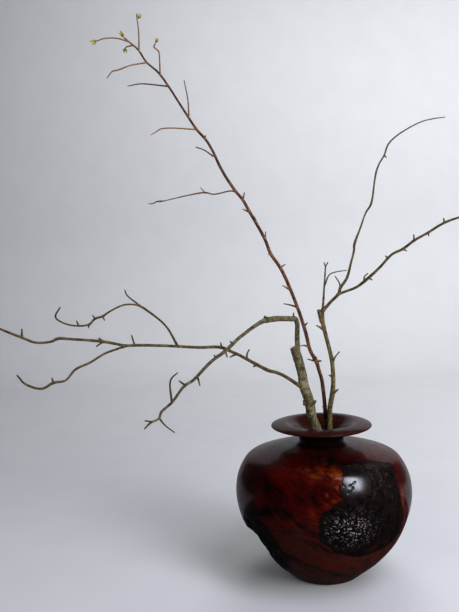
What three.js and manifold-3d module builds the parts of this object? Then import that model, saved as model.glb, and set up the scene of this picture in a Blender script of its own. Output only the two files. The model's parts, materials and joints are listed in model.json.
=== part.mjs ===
// Ikebana arrangement: three bare spring branches standing in a turned burl-wood vase.
// Millimetres, +Z up. The origin is the centre of the vase's foot, and -Y is the front.
// Every branch is one solid, with its side twigs, pruned stubs and buds grown into it.
import * as THREE from 'three';
import { mergeVertices } from 'three/addons/utils/BufferGeometryUtils.js';
import Module from 'manifold-3d';

const wasm = await Module();
wasm.setup();

// ---------------------------------------------------------------- driving sizes

const GAP = 0.3; // between solids that touch
const FLOOR_Z = 12.5; // inside bottom of the vase
const WATER_Z = 88; // water level
const HOLE_CLEARANCE = 0.7; // round each stem in the water

// Vase outline as [radius, height], from the edge of the foot up to the neck bead.
const BODY_OUTLINE = [
  [38.5, 0], [42.3, 1.4], [52.4, 9.8], [70.8, 25.9], [89.1, 48.3], [101.2, 74.8],
  [106.7, 99.2], [105.2, 121], [99.2, 136.3], [91.4, 146.7], [78, 152.1], [55, 158.2],
  [40, 160.1], [33, 161],
];
const BODY_ROWS = 25;

// Bead, waist, flared rim, dished lip and the edge of the mouth.
const NECK_OUTLINE = [
  [30.8, 162], [28, 164], [27.2, 168], [28.2, 172], [40, 176.2], [52, 180.2], [59.8, 182.7],
  [61.3, 184], [58, 185.9], [51, 187.6], [44, 188.1], [36, 185.9], [28, 181], [21, 175],
];
const MOUTH = [17.5, 171.5];

// Inside of the vase, from the mouth down to the middle of its floor.
const HOLLOW_OUTLINE = [
  [18, 161], [30, 153], [72, 144], [92, 125], [96, 99.7], [89.5, 74],
  [76, 50], [57, 29], [36, 14.5], [26, FLOOR_Z],
];

// Natural bark pockets in the wall, outlined as [degrees round from the front, height].
const RIGHT_POCKET = [
  [-8.5, 107], [-10, 97], [-10, 84], [-5, 71.5], [1.5, 63.5], [9, 58], [18, 54.5], [33, 57],
  [43.5, 60], [50.5, 66], [52.5, 77], [50.5, 91], [47, 109], [47, 118], [49, 137], [52, 147],
  [43, 148], [30, 147.5], [24, 138], [21, 126], [15, 121], [4, 120.5], [-3, 115.5],
];
const LEFT_POCKET = [
  [-69, 88], [-59.5, 89], [-54.5, 87], [-48.5, 85], [-45.5, 75.5], [-41.5, 68.5],
  [-38.5, 56.5], [-37, 46], [-40, 34], [-50, 24], [-70, 15], [-96, 15], [-114, 24],
  [-121, 40], [-116, 56], [-104, 66], [-90, 70], [-77, 76],
];
const POCKETS = [
  { outline: RIGHT_POCKET, depth: 1.4, roughness: 1.1, edge: 6 },
  { outline: LEFT_POCKET, depth: 7, roughness: 1.5, edge: 20 },
];
const FINE_ARCS = [[-122, -34, 5], [-12, 58, 4.2]]; // [from, to, step] in degrees
const PLAIN_STEP = 9;

// Stem and twig routes as [x, y, z, radius], chosen by eye along the wood.
const LEFT_TRUNK = [
  [26.8, -10, 14, 6.1], [9.8, -10, 99, 6.1], [-6, -10, 177, 6.1], [-12, -10, 195, 6],
  [-15, -10, 217, 5.9], [-20, -10, 232, 6], [-23, -10, 251, 5.5], [-30, -11, 278, 5.5],
  [-32, -11, 282, 4.6],
];
const LEFT_CROOK = [
  [-26, -10, 264, 3.2], [-27, -9, 290, 3], [-27, -11, 311, 2.9], [-29, -12, 316, 3.1],
  [-34, -15, 316.5, 3.2], [-50, -22, 318, 3.3], [-62, -28, 317.5, 3.5], [-66, -29, 317, 3.2],
  [-72, -33, 315, 2.5], [-96, -43, 300, 2], [-114, -50, 285, 2.1], [-125, -53, 278, 1.9],
  [-134, -56, 271, 1.9], [-152, -61, 254, 1.7], [-161, -63, 249, 1.6], [-176, -67, 231, 1.5],
  [-188, -69, 221, 1.5], [-191, -70, 214, 1.3], [-200, -72, 210, 1.2], [-207, -74, 204, 0.9],
];
const LEFT_LOW_LIMB = [
  [-22, -12, 232, 2.6], [-38, -16, 244, 2.1], [-47, -18, 250, 2], [-56, -19, 254, 2.1],
  [-63, -20, 256, 2.2], [-97, -24, 276, 1.8], [-105, -25, 280, 1.8], [-119, -29, 287, 1.9],
  [-143, -39, 289, 1.7], [-182, -61, 295, 1.6], [-212, -81, 299, 1.6], [-222, -89, 300, 1.5],
  [-243, -106, 307, 1.6], [-272, -135, 314, 1.4], [-281, -146, 316, 1.6],
  [-286, -152, 314, 1.3], [-297, -168, 315, 1.2], [-307, -186, 323, 1.3],
  [-318, -204, 332, 1.1], [-332, -226, 345, 0.8],
];
const LEFT_FORK = [
  [-219, -87, 300, 1.4], [-242, -106, 294, 1.2], [-255, -119, 287, 1.2],
  [-268, -132, 282, 1.3], [-276, -143, 273, 1.1], [-285, -157, 273, 1.4],
  [-293, -171, 270, 1.2], [-304, -188, 278, 1.1], [-308, -198, 288, 0.8],
];
const LEFT_HIGH_TWIG = [
  [-168, -53, 293, 1.6], [-174, -58, 307, 1.3], [-178, -62, 315, 1.2], [-184, -67, 323, 1.2],
  [-203, -84, 341, 1.3], [-209, -89, 344, 1], [-220, -100, 345, 1], [-234, -113, 339, 1],
  [-240, -118, 335, 1.2], [-247, -125, 333, 1.2], [-252, -131, 328, 1.1],
  [-266, -148, 329, 0.9], [-276, -163, 336, 0.9], [-277, -168, 340, 0.9],
  [-270, -177, 349, 0.7],
];
const LEFT_TWIGS = [
  [[-202, -83, 340, 1.1], [-220, -78, 355, 0.8], [-222, -76, 360, 0.6]],
  [[-176, -67, 231, 1.4], [-176, -78, 256, 1], [-173, -81, 262, 0.9], [-167, -83, 267, 0.7]],
  [[-191, -70, 215, 1.2], [-185, -65, 205, 0.9], [-175, -60, 195, 0.7]],
  [[-199, -72, 211, 1.1], [-207, -66, 211, 0.8]],
];
const LEFT_SPURS = [
  [[-22, -10, 214, 4], [-10.5, -13, 214, 3.2], [-7.5, -13.5, 216, 1.2]],
  [[-31, -14, 316, 1.6], [-31, -14, 322.5, 0.7]],
  [[-64, -29, 317, 2.6], [-66, -29, 321, 1.6]],
  [[-105, -47, 293, 1.5], [-107.5, -48, 295.5, 0.9]],
  [[-114, -50, 285, 1.5], [-112, -52, 279, 0.7]],
  [[-125, -53, 278, 1.4], [-126.5, -54, 281, 0.9]],
  [[-146, -60, 257, 1.4], [-144, -62, 249, 0.7]],
  [[-160, -63, 249, 1.5], [-167, -56, 253, 0.8]],
  [[-76, -22, 264, 1.6], [-80.5, -21, 262, 0.9]],
  [[-89, -23, 272, 1.6], [-88, -23, 278, 1], [-86, -24, 282, 0.8]],
  [[-101, -25, 278, 1.5], [-108, -20, 274, 0.7]],
  [[-118, -29, 286, 1.5], [-119, -29, 292, 0.7]],
  [[-213, -82, 299, 1.3], [-216, -79, 309, 0.7]],
  [[-243, -106, 307, 1.4], [-249, -109, 303, 0.7]],
  [[-243, -106, 307, 1.4], [-246, -111, 311, 0.8]],
  [[-285, -157, 273, 1.2], [-286, -158, 277.5, 0.7]],
  [[-306, -184, 322, 1.3], [-304, -189, 330, 0.7]],
  [[-246.5, -125, 333, 1.2], [-249, -124, 336, 0.7]],
  [[-240, -118, 335, 1.1], [-239, -117, 331.5, 0.6]],
  [[-252, -131, 328, 1.1], [-253, -130, 325, 0.6]],
  [[-261, -141, 328.5, 1], [-262, -142, 332, 0.6]],
];

const MIDDLE_SHOOT = [
  [10, 14, 12.9, 2.7], [8.5, 13, 96, 2.7], [7, 12, 178, 2.6], [7, 12, 202, 2.5],
  [4, 13, 237, 2.3], [1, 14, 249, 2.2], [-2, 15, 260, 2.5], [-9, 16, 274, 2.2],
  [-13, 18, 293, 2.3], [-18, 19, 312, 2.2], [-26, 21, 337, 2.1], [-41, 24, 375, 2.2],
  [-54, 26, 396, 2.1], [-60, 27, 413, 2], [-79, 28, 450, 2], [-86, 28, 463, 1.9],
  [-96, 28, 476, 1.9], [-111, 28, 501, 1.8], [-122, 28, 526, 1.6], [-129, 27, 538, 1.7],
  [-140, 27, 551, 1.6], [-155, 26, 575, 1.4], [-183, 22, 619, 1.3], [-198, 20, 633, 1.2],
  [-207, 18, 647, 1.1], [-223, 15, 661, 0.8],
];
const MIDDLE_TWIGS = [
  [[-217, 16, 656, 0.9], [-229, 8, 658, 0.8], [-238, 2, 657, 0.8], [-245, -3, 655, 0.8],
    [-252, -7, 651.5, 0.8]],
  [[-213, 17, 652, 0.9], [-220, 22, 652.5, 0.8], [-223, 25, 652.3, 0.7]],
  [[-206, 18, 646, 1], [-206, 23, 669, 0.8], [-208, 29, 688, 0.7], [-208.5, 31, 694, 0.6]],
  [[-197, 20, 632, 1], [-215, 4, 625, 0.8], [-229, -10, 616, 1], [-234, -14, 614, 0.8],
    [-240, -20, 605, 0.6]],
  [[-182, 22, 618, 1], [-181, 12, 630, 0.8], [-181, 5, 640, 0.8], [-186, 1, 645, 0.8],
    [-184, -1, 648, 0.7]],
  [[-174, 24, 604, 1], [-209, 44, 613, 0.8], [-226, 53, 613, 0.6]],
  [[-149, 26, 568, 1], [-149, 16, 585, 0.8], [-152, 5, 605, 0.6]],
  [[-140, 27, 551, 1], [-171, 6, 550, 0.8], [-182, -1, 548, 0.8], [-186, -4, 545, 0.8],
    [-193, -9, 540, 0.6]],
  [[-121, 28, 518, 1], [-132, 35, 527, 0.8], [-142, 41, 532, 0.9]],
  [[-95, 28, 474, 1.1], [-102, 32, 475, 0.9], [-122, 45, 473, 0.9], [-133, 51, 476, 1],
    [-160, 66, 474, 0.8], [-190, 83, 470, 0.8], [-194, 85, 470, 1.3], [-199, 88, 470, 0.9],
    [-204, 91, 468, 0.8], [-210, 94, 468, 0.6]],
  [[-133, 51, 475.5, 0.9], [-139, 54, 483, 0.5]],
];
const MIDDLE_SPURS = [
  [[-131, 24.5, 539, 1.4], [-129.5, 23, 542, 0.9]],
  [[-86, 27, 464, 1.5], [-84, 26, 471, 0.7]],
  [[-80, 28, 449, 1.6], [-86, 23, 451, 0.6]],
  [[-71, 26, 437, 1.6], [-73, 24, 442, 0.7]],
  [[-60, 27, 415, 1.5], [-59, 27, 422, 0.6]],
  [[-53, 26, 394, 1.7], [-56, 24, 394.5, 0.9]],
  [[-41, 24, 376, 1.6], [-40, 23, 379, 1.1], [-37, 22, 381, 0.6]],
  [[-33, 22, 351, 1.6], [-40, 18, 355, 0.6]],
  [[-23, 20, 328, 1.6], [-33, 26, 331, 0.9], [-38, 29, 332, 0.6]],
  [[-15, 19, 304, 1.6], [-12, 15, 308, 0.8]],
  [[-10, 17, 278, 1.6], [-17, 11, 281, 1], [-21, 8, 281, 0.6]],
  [[-5, 16, 261, 1.6], [-7, 19, 261, 1], [-11, 22, 262, 0.7]],
  [[-2, 15, 260, 2.4], [3, 10, 261, 0.8]],
  [[-3, 15, 262, 2.4], [-3, 11, 265.5, 1.2]],
  [[5, 13, 227, 2.4], [5, 9.8, 230, 1.3]],
  [[7, 12, 202, 2.4], [4.5, 11, 203.5, 1]],
];

const RIGHT_BRANCH = [
  [-2, 2, 13.1, 3.4], [4.5, 3, 96, 3.4], [11, 4, 178, 3.3], [12, 4, 202, 3.2],
  [16, 4, 224, 3], [17, 4, 238, 2.6], [16, 5, 262, 2.5], [8, 6, 300, 2.5],
  [6, 7, 312, 2.8], [6, 7, 322, 2.7], [8, 7, 327, 2],
];
const RIGHT_STUB = [[5, 7, 309, 2.4], [2.5, 5, 319, 2.1], [1, 4, 325, 2]];
const RIGHT_HIGH_LIMB = [
  [7, 7, 323, 2.3], [16, 7, 333, 1.9], [27, 6, 344, 2], [29, 8, 350, 1.9],
  [38, 12, 362, 1.7], [45, 19, 381, 1.4], [50, 25, 396, 1.4], [51, 27, 403, 1.7],
  [60, 34, 423, 1.2], [69, 41, 443, 1.1], [75, 44, 451, 1.4], [78, 46, 458, 1.3],
  [84, 55, 485, 1.1], [87, 58, 496, 1.3], [92, 61, 507, 1.1], [99, 65, 517, 1.1],
  [105, 68, 531, 1.1], [118, 73, 543, 1], [151, 84, 561, 0.8], [169, 90, 566, 0.8],
  [188, 96, 569, 0.6],
];
const RIGHT_LOW_LIMB = [
  [24, 6, 342, 1.9], [34, 3, 346, 1.6], [46, -5, 351, 1.6], [57, -13, 360, 1.9],
  [71, -22, 374, 1.6], [84, -31, 389, 1.5], [95, -39, 395, 1.6], [106, -47, 404, 1.5],
  [119, -57, 412, 1.4], [134, -69, 422, 1.4], [156, -88, 429, 0.9], [165, -96, 429, 0.7],
];
const RIGHT_TWIGS = [
  [[7, 7, 326, 1.6], [10, 12, 352, 1.1], [13, 17, 378, 0.9]],
  [[13, 17, 377, 0.9], [11, 16, 382, 0.7]],
  [[13, 17, 377, 0.9], [16, 18, 382, 0.7]],
  [[11, 14, 354, 1], [16, 7, 367, 0.8], [22, 2, 370, 0.7], [35, -6, 372, 0.5]],
  [[29, 8, 350, 1.2], [28, 6, 356, 0.9], [22, 0, 365, 0.7]],
];
const RIGHT_SPURS = [
  [[16.5, 5, 260, 2.2], [20, 1.5, 267, 1], [24, -3, 273, 0.7]],
  [[16.5, 3.5, 222, 2.6], [21.5, 0.5, 226, 0.9]],
  [[16.5, 4, 242, 2.2], [13, 4, 243.5, 0.9]],
  [[6, 6, 301, 2], [-2, 1, 306, 0.7]],
  [[55, -11, 358, 1.5], [55, -13, 364, 0.9], [58, -15, 367, 0.7]],
  [[60, -14, 362, 1.4], [63, -16, 360, 0.7]],
  [[80, -29, 385, 1.5], [77.5, -29, 387, 0.8]],
  [[95, -39, 395, 1.5], [98, -40, 393, 0.7]],
  [[106, -47, 404, 1.4], [105, -49, 409.5, 0.7]],
  [[119, -57, 412, 1.3], [120, -56, 409, 0.7]],
  [[134, -69, 422, 1.4], [133, -70, 426, 0.7]],
  [[99, 65, 517, 1.2], [101, 63, 514.5, 0.7]],
];

// Opening leaf buds at twig ends: seat on the twig, then the tip of each green leaf.
const LEAF_BUDS = [
  { name: 'leaf_bud_top', seat: [-206.3, 28.7, 687.8], width: 1.5,
    tips: [[-205.2, 29, 694.5], [-202.3, 27, 692]] },
  { name: 'leaf_bud_shoot_end', seat: [-223.9, 14.8, 661.9], width: 1.5,
    tips: [[-227.5, 14, 670], [-230, 12, 665.5], [-224, 15, 667]] },
  { name: 'leaf_bud_low', seat: [-223.9, 26, 651.9], width: 1.4,
    tips: [[-225.8, 28.5, 646.5], [-222.3, 28, 645.5]] },
  { name: 'leaf_bud_right', seat: [-183.4, -1.7, 648.8], width: 1.4,
    tips: [[-179.5, -3, 653.5], [-183.5, -3.5, 654.5]] },
  { name: 'leaf_bud_left', seat: [-252.9, -7.4, 651.1], width: 1.5,
    tips: [[-261, -10, 650], [-258.5, -9, 646.5]] },
];

// ---------------------------------------------------------------- finishes

const FINISHES = {
  burl: { color: 0x4a1c0c, roughness: 0.28, metalness: 0 },
  water: { color: 0x9fb4b0, roughness: 0.1, metalness: 0 },
  olive_bark: { color: 0x5c5542, roughness: 0.85, metalness: 0 },
  red_bark: { color: 0x6b3f2c, roughness: 0.7, metalness: 0 },
  grey_bark: { color: 0x5f5646, roughness: 0.8, metalness: 0 },
  leaf_green: { color: 0x9aa04a, roughness: 0.6, metalness: 0 },
};
const materials = Object.fromEntries(
  Object.entries(FINISHES).map(([name, look]) => [name, new THREE.MeshStandardMaterial(look)]),
);

// ---------------------------------------------------------------- solids

/** Closed geometry from positions and triangles. */
function geometryOf(positions, triangles) {
  const geometry = new THREE.BufferGeometry();
  geometry.setAttribute('position', new THREE.Float32BufferAttribute(positions, 3));
  geometry.setIndex(triangles);
  return geometry;
}

/** Manifold solid of a closed geometry. */
function solidOf(geometry) {
  const merged = mergeVertices(geometry, 1e-3);
  return new wasm.Manifold(new wasm.Mesh({
    numProp: 3,
    vertProperties: merged.attributes.position.array,
    triVerts: new Uint32Array(merged.index.array),
  }));
}

/** Named mesh of a manifold solid. */
function meshOf(name, solid, material) {
  const { vertProperties, triVerts } = solid.getMesh();
  const geometry = geometryOf(Array.from(vertProperties), Array.from(triVerts));
  const mesh = new THREE.Mesh(geometry.toNonIndexed(), material);
  mesh.geometry.computeVertexNormals();
  mesh.name = name;
  return mesh;
}

/** One solid grown together from several. */
function grownTogether(solids) {
  return solids.reduce((whole, piece) => whole.add(piece));
}

/** Rings along a route: place and radius, with every route point kept. */
function ringsAlong(route, step) {
  const curve = new THREE.CatmullRomCurve3(
    route.map(([x, y, z]) => new THREE.Vector3(x, y, z)), false, 'centripetal',
  );
  const last = route.length - 1;
  const rings = [];
  for (let i = 0; i < last; i += 1) {
    const [from, to] = [route[i], route[i + 1]];
    const length = Math.hypot(to[0] - from[0], to[1] - from[1], to[2] - from[2]);
    const cuts = Math.max(1, Math.round(length / step));
    for (let cut = 0; cut < cuts; cut += 1) {
      const share = cut / cuts;
      const radius = THREE.MathUtils.lerp(from[3], to[3], share);
      rings.push({ center: curve.getPoint((i + share) / last), radius });
    }
  }
  rings.push({ center: curve.getPoint(1), radius: route[last][3] });
  return rings;
}

/**
 * Round wood along a route, closed at both ends. ridge is the height of the bark's ridges as a
 * share of the radius, and tip is how far the end stands out as a share of its radius.
 */
function wood(route, { sides = 6, step = 9, ridge = 0, tip = 0.8 } = {}) {
  const rings = ringsAlong(route, step);
  const positions = [];
  const triangles = [];
  let side = new THREE.Vector3(0.31, -0.93, 0.19);
  let along = new THREE.Vector3();
  rings.forEach(({ center, radius }, index) => {
    const before = rings[Math.max(index - 1, 0)].center;
    const after = rings[Math.min(index + 1, rings.length - 1)].center;
    along = after.clone().sub(before).normalize();
    side = side.addScaledVector(along, -side.dot(along)).normalize();
    const across = along.clone().cross(side);
    for (let corner = 0; corner < sides; corner += 1) {
      const turn = (2 * Math.PI * corner) / sides;
      const swell = 1 + ridge * Math.sin(3 * turn + 0.09 * center.z) * Math.cos(5 * turn);
      const point = center.clone()
        .addScaledVector(side, radius * swell * Math.cos(turn))
        .addScaledVector(across, radius * swell * Math.sin(turn));
      positions.push(point.x, point.y, point.z);
    }
  });
  for (let ring = 0; ring < rings.length - 1; ring += 1) {
    for (let corner = 0; corner < sides; corner += 1) {
      const next = (corner + 1) % sides;
      const [a, b] = [ring * sides + corner, ring * sides + next];
      triangles.push(a, b, b + sides, a, b + sides, a + sides);
    }
  }
  const first = rings[0];
  const end = rings[rings.length - 1];
  const top = end.center.clone().addScaledVector(along, tip * end.radius);
  positions.push(first.center.x, first.center.y, first.center.z, top.x, top.y, top.z);
  const startHub = rings.length * sides;
  const endRow = (rings.length - 1) * sides;
  for (let corner = 0; corner < sides; corner += 1) {
    const next = (corner + 1) % sides;
    triangles.push(startHub, next, corner);
    triangles.push(startHub + 1, endRow + corner, endRow + next);
  }
  return solidOf(geometryOf(positions, triangles));
}

/** Small side spurs and buds, with their roots sunk into the wood they grow from. */
function spurs(routes) {
  return routes.map((route) => wood(route, { sides: 5, step: 20 }));
}

/** Thin side twigs. */
function twigs(routes) {
  return routes.map((route) => wood(route, { sides: 5, step: 10 }));
}

// ---------------------------------------------------------------- vase

/** Distance in mm from a point on the wall into an outline: positive inside, negative outside. */
function depthInside(outline, degrees, height) {
  const arc = THREE.MathUtils.degToRad(100); // mm of wall for each degree at a radius of 100 mm
  const x = degrees * arc;
  let inside = false;
  let nearest = Infinity;
  outline.forEach(([angle, z], index) => {
    const [nextAngle, nextZ] = outline[(index + 1) % outline.length];
    const [ax, bx] = [angle * arc, nextAngle * arc];
    if ((z > height) !== (nextZ > height)
      && x < ax + ((bx - ax) * (height - z)) / (nextZ - z)) inside = !inside;
    const [dx, dz] = [bx - ax, nextZ - z];
    const share = THREE.MathUtils.clamp(
      ((x - ax) * dx + (height - z) * dz) / (dx * dx + dz * dz), 0, 1,
    );
    nearest = Math.min(nearest, Math.hypot(x - ax - share * dx, height - z - share * dz));
  });
  return inside ? nearest : -nearest;
}

/** How far the bark pockets sink the wall below the turned shape, in mm. */
function sunk(degrees, height) {
  const lumps = Math.sin(0.42 * degrees + 0.21 * height) * Math.sin(0.37 * height - 0.13 * degrees)
    + 0.6 * Math.sin(0.71 * degrees + 1.3) * Math.sin(0.53 * height + 0.4);
  return POCKETS.reduce((total, { outline, depth, roughness, edge }) => {
    const share = THREE.MathUtils.smoothstep(depthInside(outline, degrees, height), 0, edge);
    return total + share * (depth + roughness * 0.6 * lumps);
  }, 0);
}

/** Directions of the wall's columns in degrees, closer together across the bark pockets. */
function columnAngles() {
  const angles = [];
  let angle = -180;
  while (angle < 180 - PLAIN_STEP / 2) {
    angles.push(angle);
    const fine = FINE_ARCS.find(([from, to]) => angle >= from && angle < to);
    angle += fine ? fine[2] : PLAIN_STEP;
  }
  return angles;
}

/** Outline rows of the vase: from the foot round the outside, over the rim and down inside. */
function vaseRows() {
  const body = new THREE.SplineCurve(BODY_OUTLINE.map(([r, z]) => new THREE.Vector2(r, z)));
  const outside = body.getPoints(BODY_ROWS).map(({ x, y }) => ({ r: x, z: y, carved: true }));
  outside[0].carved = false;
  const plain = [...NECK_OUTLINE, MOUTH, ...HOLLOW_OUTLINE].map(([r, z]) => ({ r, z }));
  return [...outside, ...plain];
}

/** Turned vase, hollow, with bark pockets in its wall. */
function vaseSolid() {
  const angles = columnAngles();
  const rows = vaseRows();
  const count = angles.length;
  const positions = [];
  const triangles = [];
  rows.forEach(({ r, z, carved }) => {
    angles.forEach((degrees) => {
      const turn = THREE.MathUtils.degToRad(degrees);
      const radius = carved ? r - sunk(degrees, z) : r;
      positions.push(radius * Math.sin(turn), -radius * Math.cos(turn), z);
    });
  });
  for (let row = 0; row < rows.length - 1; row += 1) {
    for (let column = 0; column < count; column += 1) {
      const [a, b] = [row * count + column, row * count + ((column + 1) % count)];
      triangles.push(a, b, b + count, a, b + count, a + count);
    }
  }
  const foot = rows.length * count;
  const floorRow = (rows.length - 1) * count;
  positions.push(0, 0, 0, 0, 0, FLOOR_Z);
  for (let column = 0; column < count; column += 1) {
    const next = (column + 1) % count;
    triangles.push(foot, next, column, foot + 1, floorRow + column, floorRow + next);
  }
  return solidOf(geometryOf(positions, triangles));
}

/** Water in the vase, with a plain hole where each stem stands. */
function waterSolid() {
  const wet = HOLLOW_OUTLINE.filter(([, z]) => z < WATER_Z).reverse();
  const outline = wet.map(([r, z]) => new THREE.Vector2(r - 1, z + GAP));
  const [low, high] = [wet[wet.length - 1], HOLLOW_OUTLINE.find(([, z]) => z > WATER_Z && z < 110)];
  const share = (WATER_Z - low[1]) / (high[1] - low[1]);
  const surfaceRadius = THREE.MathUtils.lerp(low[0], high[0], share) - 1;
  const profile = [
    new THREE.Vector2(0, FLOOR_Z + GAP), ...outline,
    new THREE.Vector2(surfaceRadius, WATER_Z), new THREE.Vector2(0, WATER_Z),
  ];
  const lathe = new THREE.LatheGeometry(profile, 32).rotateX(Math.PI / 2);
  lathe.deleteAttribute('normal');
  lathe.deleteAttribute('uv');
  return [LEFT_TRUNK, MIDDLE_SHOOT, RIGHT_BRANCH].reduce(
    (body, route) => body.subtract(stemHole(route)), solidOf(lathe),
  );
}

/** Straight hole round the stretch of a stem that stands in the water. */
function stemHole([foot, above]) {
  const radius = foot[3] + HOLE_CLEARANCE;
  const overrun = (end, other) => end.map((value, axis) => (
    axis < 3 ? value + 0.15 * (value - other[axis]) : radius
  ));
  return wood([overrun(foot, above), overrun(above, foot)], { sides: 12, step: 500, tip: 0 });
}

// ---------------------------------------------------------------- branches and buds

/** Grey-green trunk with its pruned end, the crooked upper branch and the long side limb. */
function leftBranchSolid() {
  return grownTogether([
    wood(LEFT_TRUNK, { sides: 12, step: 14, ridge: 0.06, tip: 0 }),
    wood(LEFT_CROOK, { sides: 8, step: 11 }),
    wood(LEFT_LOW_LIMB, { sides: 7, step: 12 }),
    wood(LEFT_FORK, { sides: 6, step: 12 }),
    wood(LEFT_HIGH_TWIG, { sides: 6, step: 12 }),
    ...twigs(LEFT_TWIGS),
    ...spurs(LEFT_SPURS),
  ]);
}

/** Tall red-brown shoot with fine side twigs. */
function middleShootSolid() {
  return grownTogether([
    wood(MIDDLE_SHOOT, { sides: 8, step: 14 }),
    ...twigs(MIDDLE_TWIGS),
    ...spurs(MIDDLE_SPURS),
  ]);
}

/** Grey branch on the right with its pruned stub and two spreading limbs. */
function rightBranchSolid() {
  return grownTogether([
    wood(RIGHT_BRANCH, { sides: 9, step: 14 }),
    wood(RIGHT_STUB, { sides: 8, step: 9, tip: 0 }),
    wood(RIGHT_HIGH_LIMB, { sides: 6, step: 12 }),
    wood(RIGHT_LOW_LIMB, { sides: 6, step: 12 }),
    ...twigs(RIGHT_TWIGS),
    ...spurs(RIGHT_SPURS),
  ]);
}

/** Young folded leaves that spread from one seat. */
function leafBudSolid({ seat, width, tips }) {
  return grownTogether(tips.map((tip) => {
    const between = (share, radius) => [
      ...seat.map((value, axis) => THREE.MathUtils.lerp(value, tip[axis], share)), radius,
    ];
    const leaf = [
      between(0, 0.45 * width), between(0.3, width), between(0.65, 0.75 * width),
      between(1, 0.15 * width),
    ];
    return wood(leaf, { sides: 6, step: 20 });
  }));
}

// ---------------------------------------------------------------- arrangement

const arrangement = new THREE.Group();
arrangement.add(
  meshOf('vase', vaseSolid(), materials.burl),
  meshOf('water', waterSolid(), materials.water),
  meshOf('left_branch', leftBranchSolid(), materials.olive_bark),
  meshOf('middle_shoot', middleShootSolid(), materials.red_bark),
  meshOf('right_branch', rightBranchSolid(), materials.grey_bark),
  ...LEAF_BUDS.map((bud) => meshOf(bud.name, leafBudSolid(bud), materials.leaf_green)),
);

export default arrangement;
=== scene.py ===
"""Ikebana arrangement: three bare spring branches standing in a turned burl-wood vase.

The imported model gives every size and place, in metres, +Z up, with the vase's foot at the
origin and its front towards -Y. This script gives the finished surfaces: the figured wood and
its bark pockets, the bark, knots, spurs and buds of the branches, and the young leaves.
Lengths in the classes are millimetres, as a maker would state them.
"""

from __future__ import annotations

import itertools
import json
import logging
import math
from dataclasses import dataclass, replace
from enum import Enum
from functools import cached_property

import bpy
import numpy as np
from mathutils import Matrix

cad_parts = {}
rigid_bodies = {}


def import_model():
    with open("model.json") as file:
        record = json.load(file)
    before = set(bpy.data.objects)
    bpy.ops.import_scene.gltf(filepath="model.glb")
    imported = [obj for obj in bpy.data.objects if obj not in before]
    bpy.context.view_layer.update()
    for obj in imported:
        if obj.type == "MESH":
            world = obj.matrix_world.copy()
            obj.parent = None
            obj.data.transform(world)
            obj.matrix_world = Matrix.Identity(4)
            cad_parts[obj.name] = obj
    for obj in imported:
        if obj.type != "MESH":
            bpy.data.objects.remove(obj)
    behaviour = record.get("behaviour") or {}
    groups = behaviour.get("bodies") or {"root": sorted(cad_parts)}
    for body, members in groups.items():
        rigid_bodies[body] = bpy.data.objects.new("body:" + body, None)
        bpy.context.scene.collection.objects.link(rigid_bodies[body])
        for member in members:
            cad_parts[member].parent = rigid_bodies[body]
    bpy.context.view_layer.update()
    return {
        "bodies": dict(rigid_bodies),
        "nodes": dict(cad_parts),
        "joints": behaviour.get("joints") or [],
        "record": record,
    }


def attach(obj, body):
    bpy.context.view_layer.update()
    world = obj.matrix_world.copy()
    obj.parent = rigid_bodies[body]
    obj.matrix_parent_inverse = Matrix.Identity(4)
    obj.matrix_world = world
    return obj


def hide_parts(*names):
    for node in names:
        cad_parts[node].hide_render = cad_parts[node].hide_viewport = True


LOG = logging.getLogger("ikebana")
MM = 0.001
MM_PER_DEGREE = math.radians(100.0)  # along the vase's wall, at a radius of 100 mm
BODY = "root"
CELL_WEIGHTS, SEED_WEIGHT, SINE_SCALE = (127.1, 311.7, 74.7), 19.19, 43758.5453  # for scattered

Array = np.ndarray
Place = tuple[float, float, float]
Colour = tuple[float, float, float]
Route = tuple[tuple[float, float, float, float], ...]
Span = tuple[float, float]
Outline = tuple[Span, ...]  # (radius, height) in mm, or (degrees round, height) on the wall
Marks = tuple[tuple[float, ...], ...]  # rows of what WallGrid.mark takes
Scratches = tuple[tuple[Outline, float], ...]  # lines on the wall and their widths


# ------------------------------------------------------------------ numbers


def eased(value: Array, low: float, high: float) -> Array:
    """A soft step: 0 below low, 1 above high, and an S-curve between them."""
    share = np.clip((value - low) / (high - low), 0.0, 1.0)
    return share * share * (3.0 - 2.0 * share)


def scattered(cells: Array, seed: float) -> Array:
    """Even numbers from 0 to 1, the same in every run.

    Args:
        cells: whole-number cells, with 3 in the last axis.
        seed: any number, one for each pattern.

    Returns:
        The fractional part of a large sine of each cell's weighted sum.
    """
    mixed = cells @ np.array(CELL_WEIGHTS) + seed * SEED_WEIGHT
    return np.modf(np.abs(np.sin(mixed) * SINE_SCALE))[0]


def clouds(points: Array, size: float, seed: float) -> Array:
    """Soft lumps: lattice values blended by an S-curve between the 8 corners of each cell.

    Args:
        points: places, with 3 in the last axis.
        size: how far apart the lumps are, in the points' unit.
        seed: which pattern.

    Returns:
        Values from -1 to 1.
    """
    scaled = points / size
    cell = np.floor(scaled)
    part = eased(scaled - cell, 0.0, 1.0)
    total = np.zeros(points.shape[:-1])
    for corner in itertools.product((0.0, 1.0), repeat=3):
        weight = np.prod(np.where(corner, part, 1.0 - part), axis=-1)
        total += weight * scattered(cell + np.array(corner), seed)
    return 2.0 * total - 1.0


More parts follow.
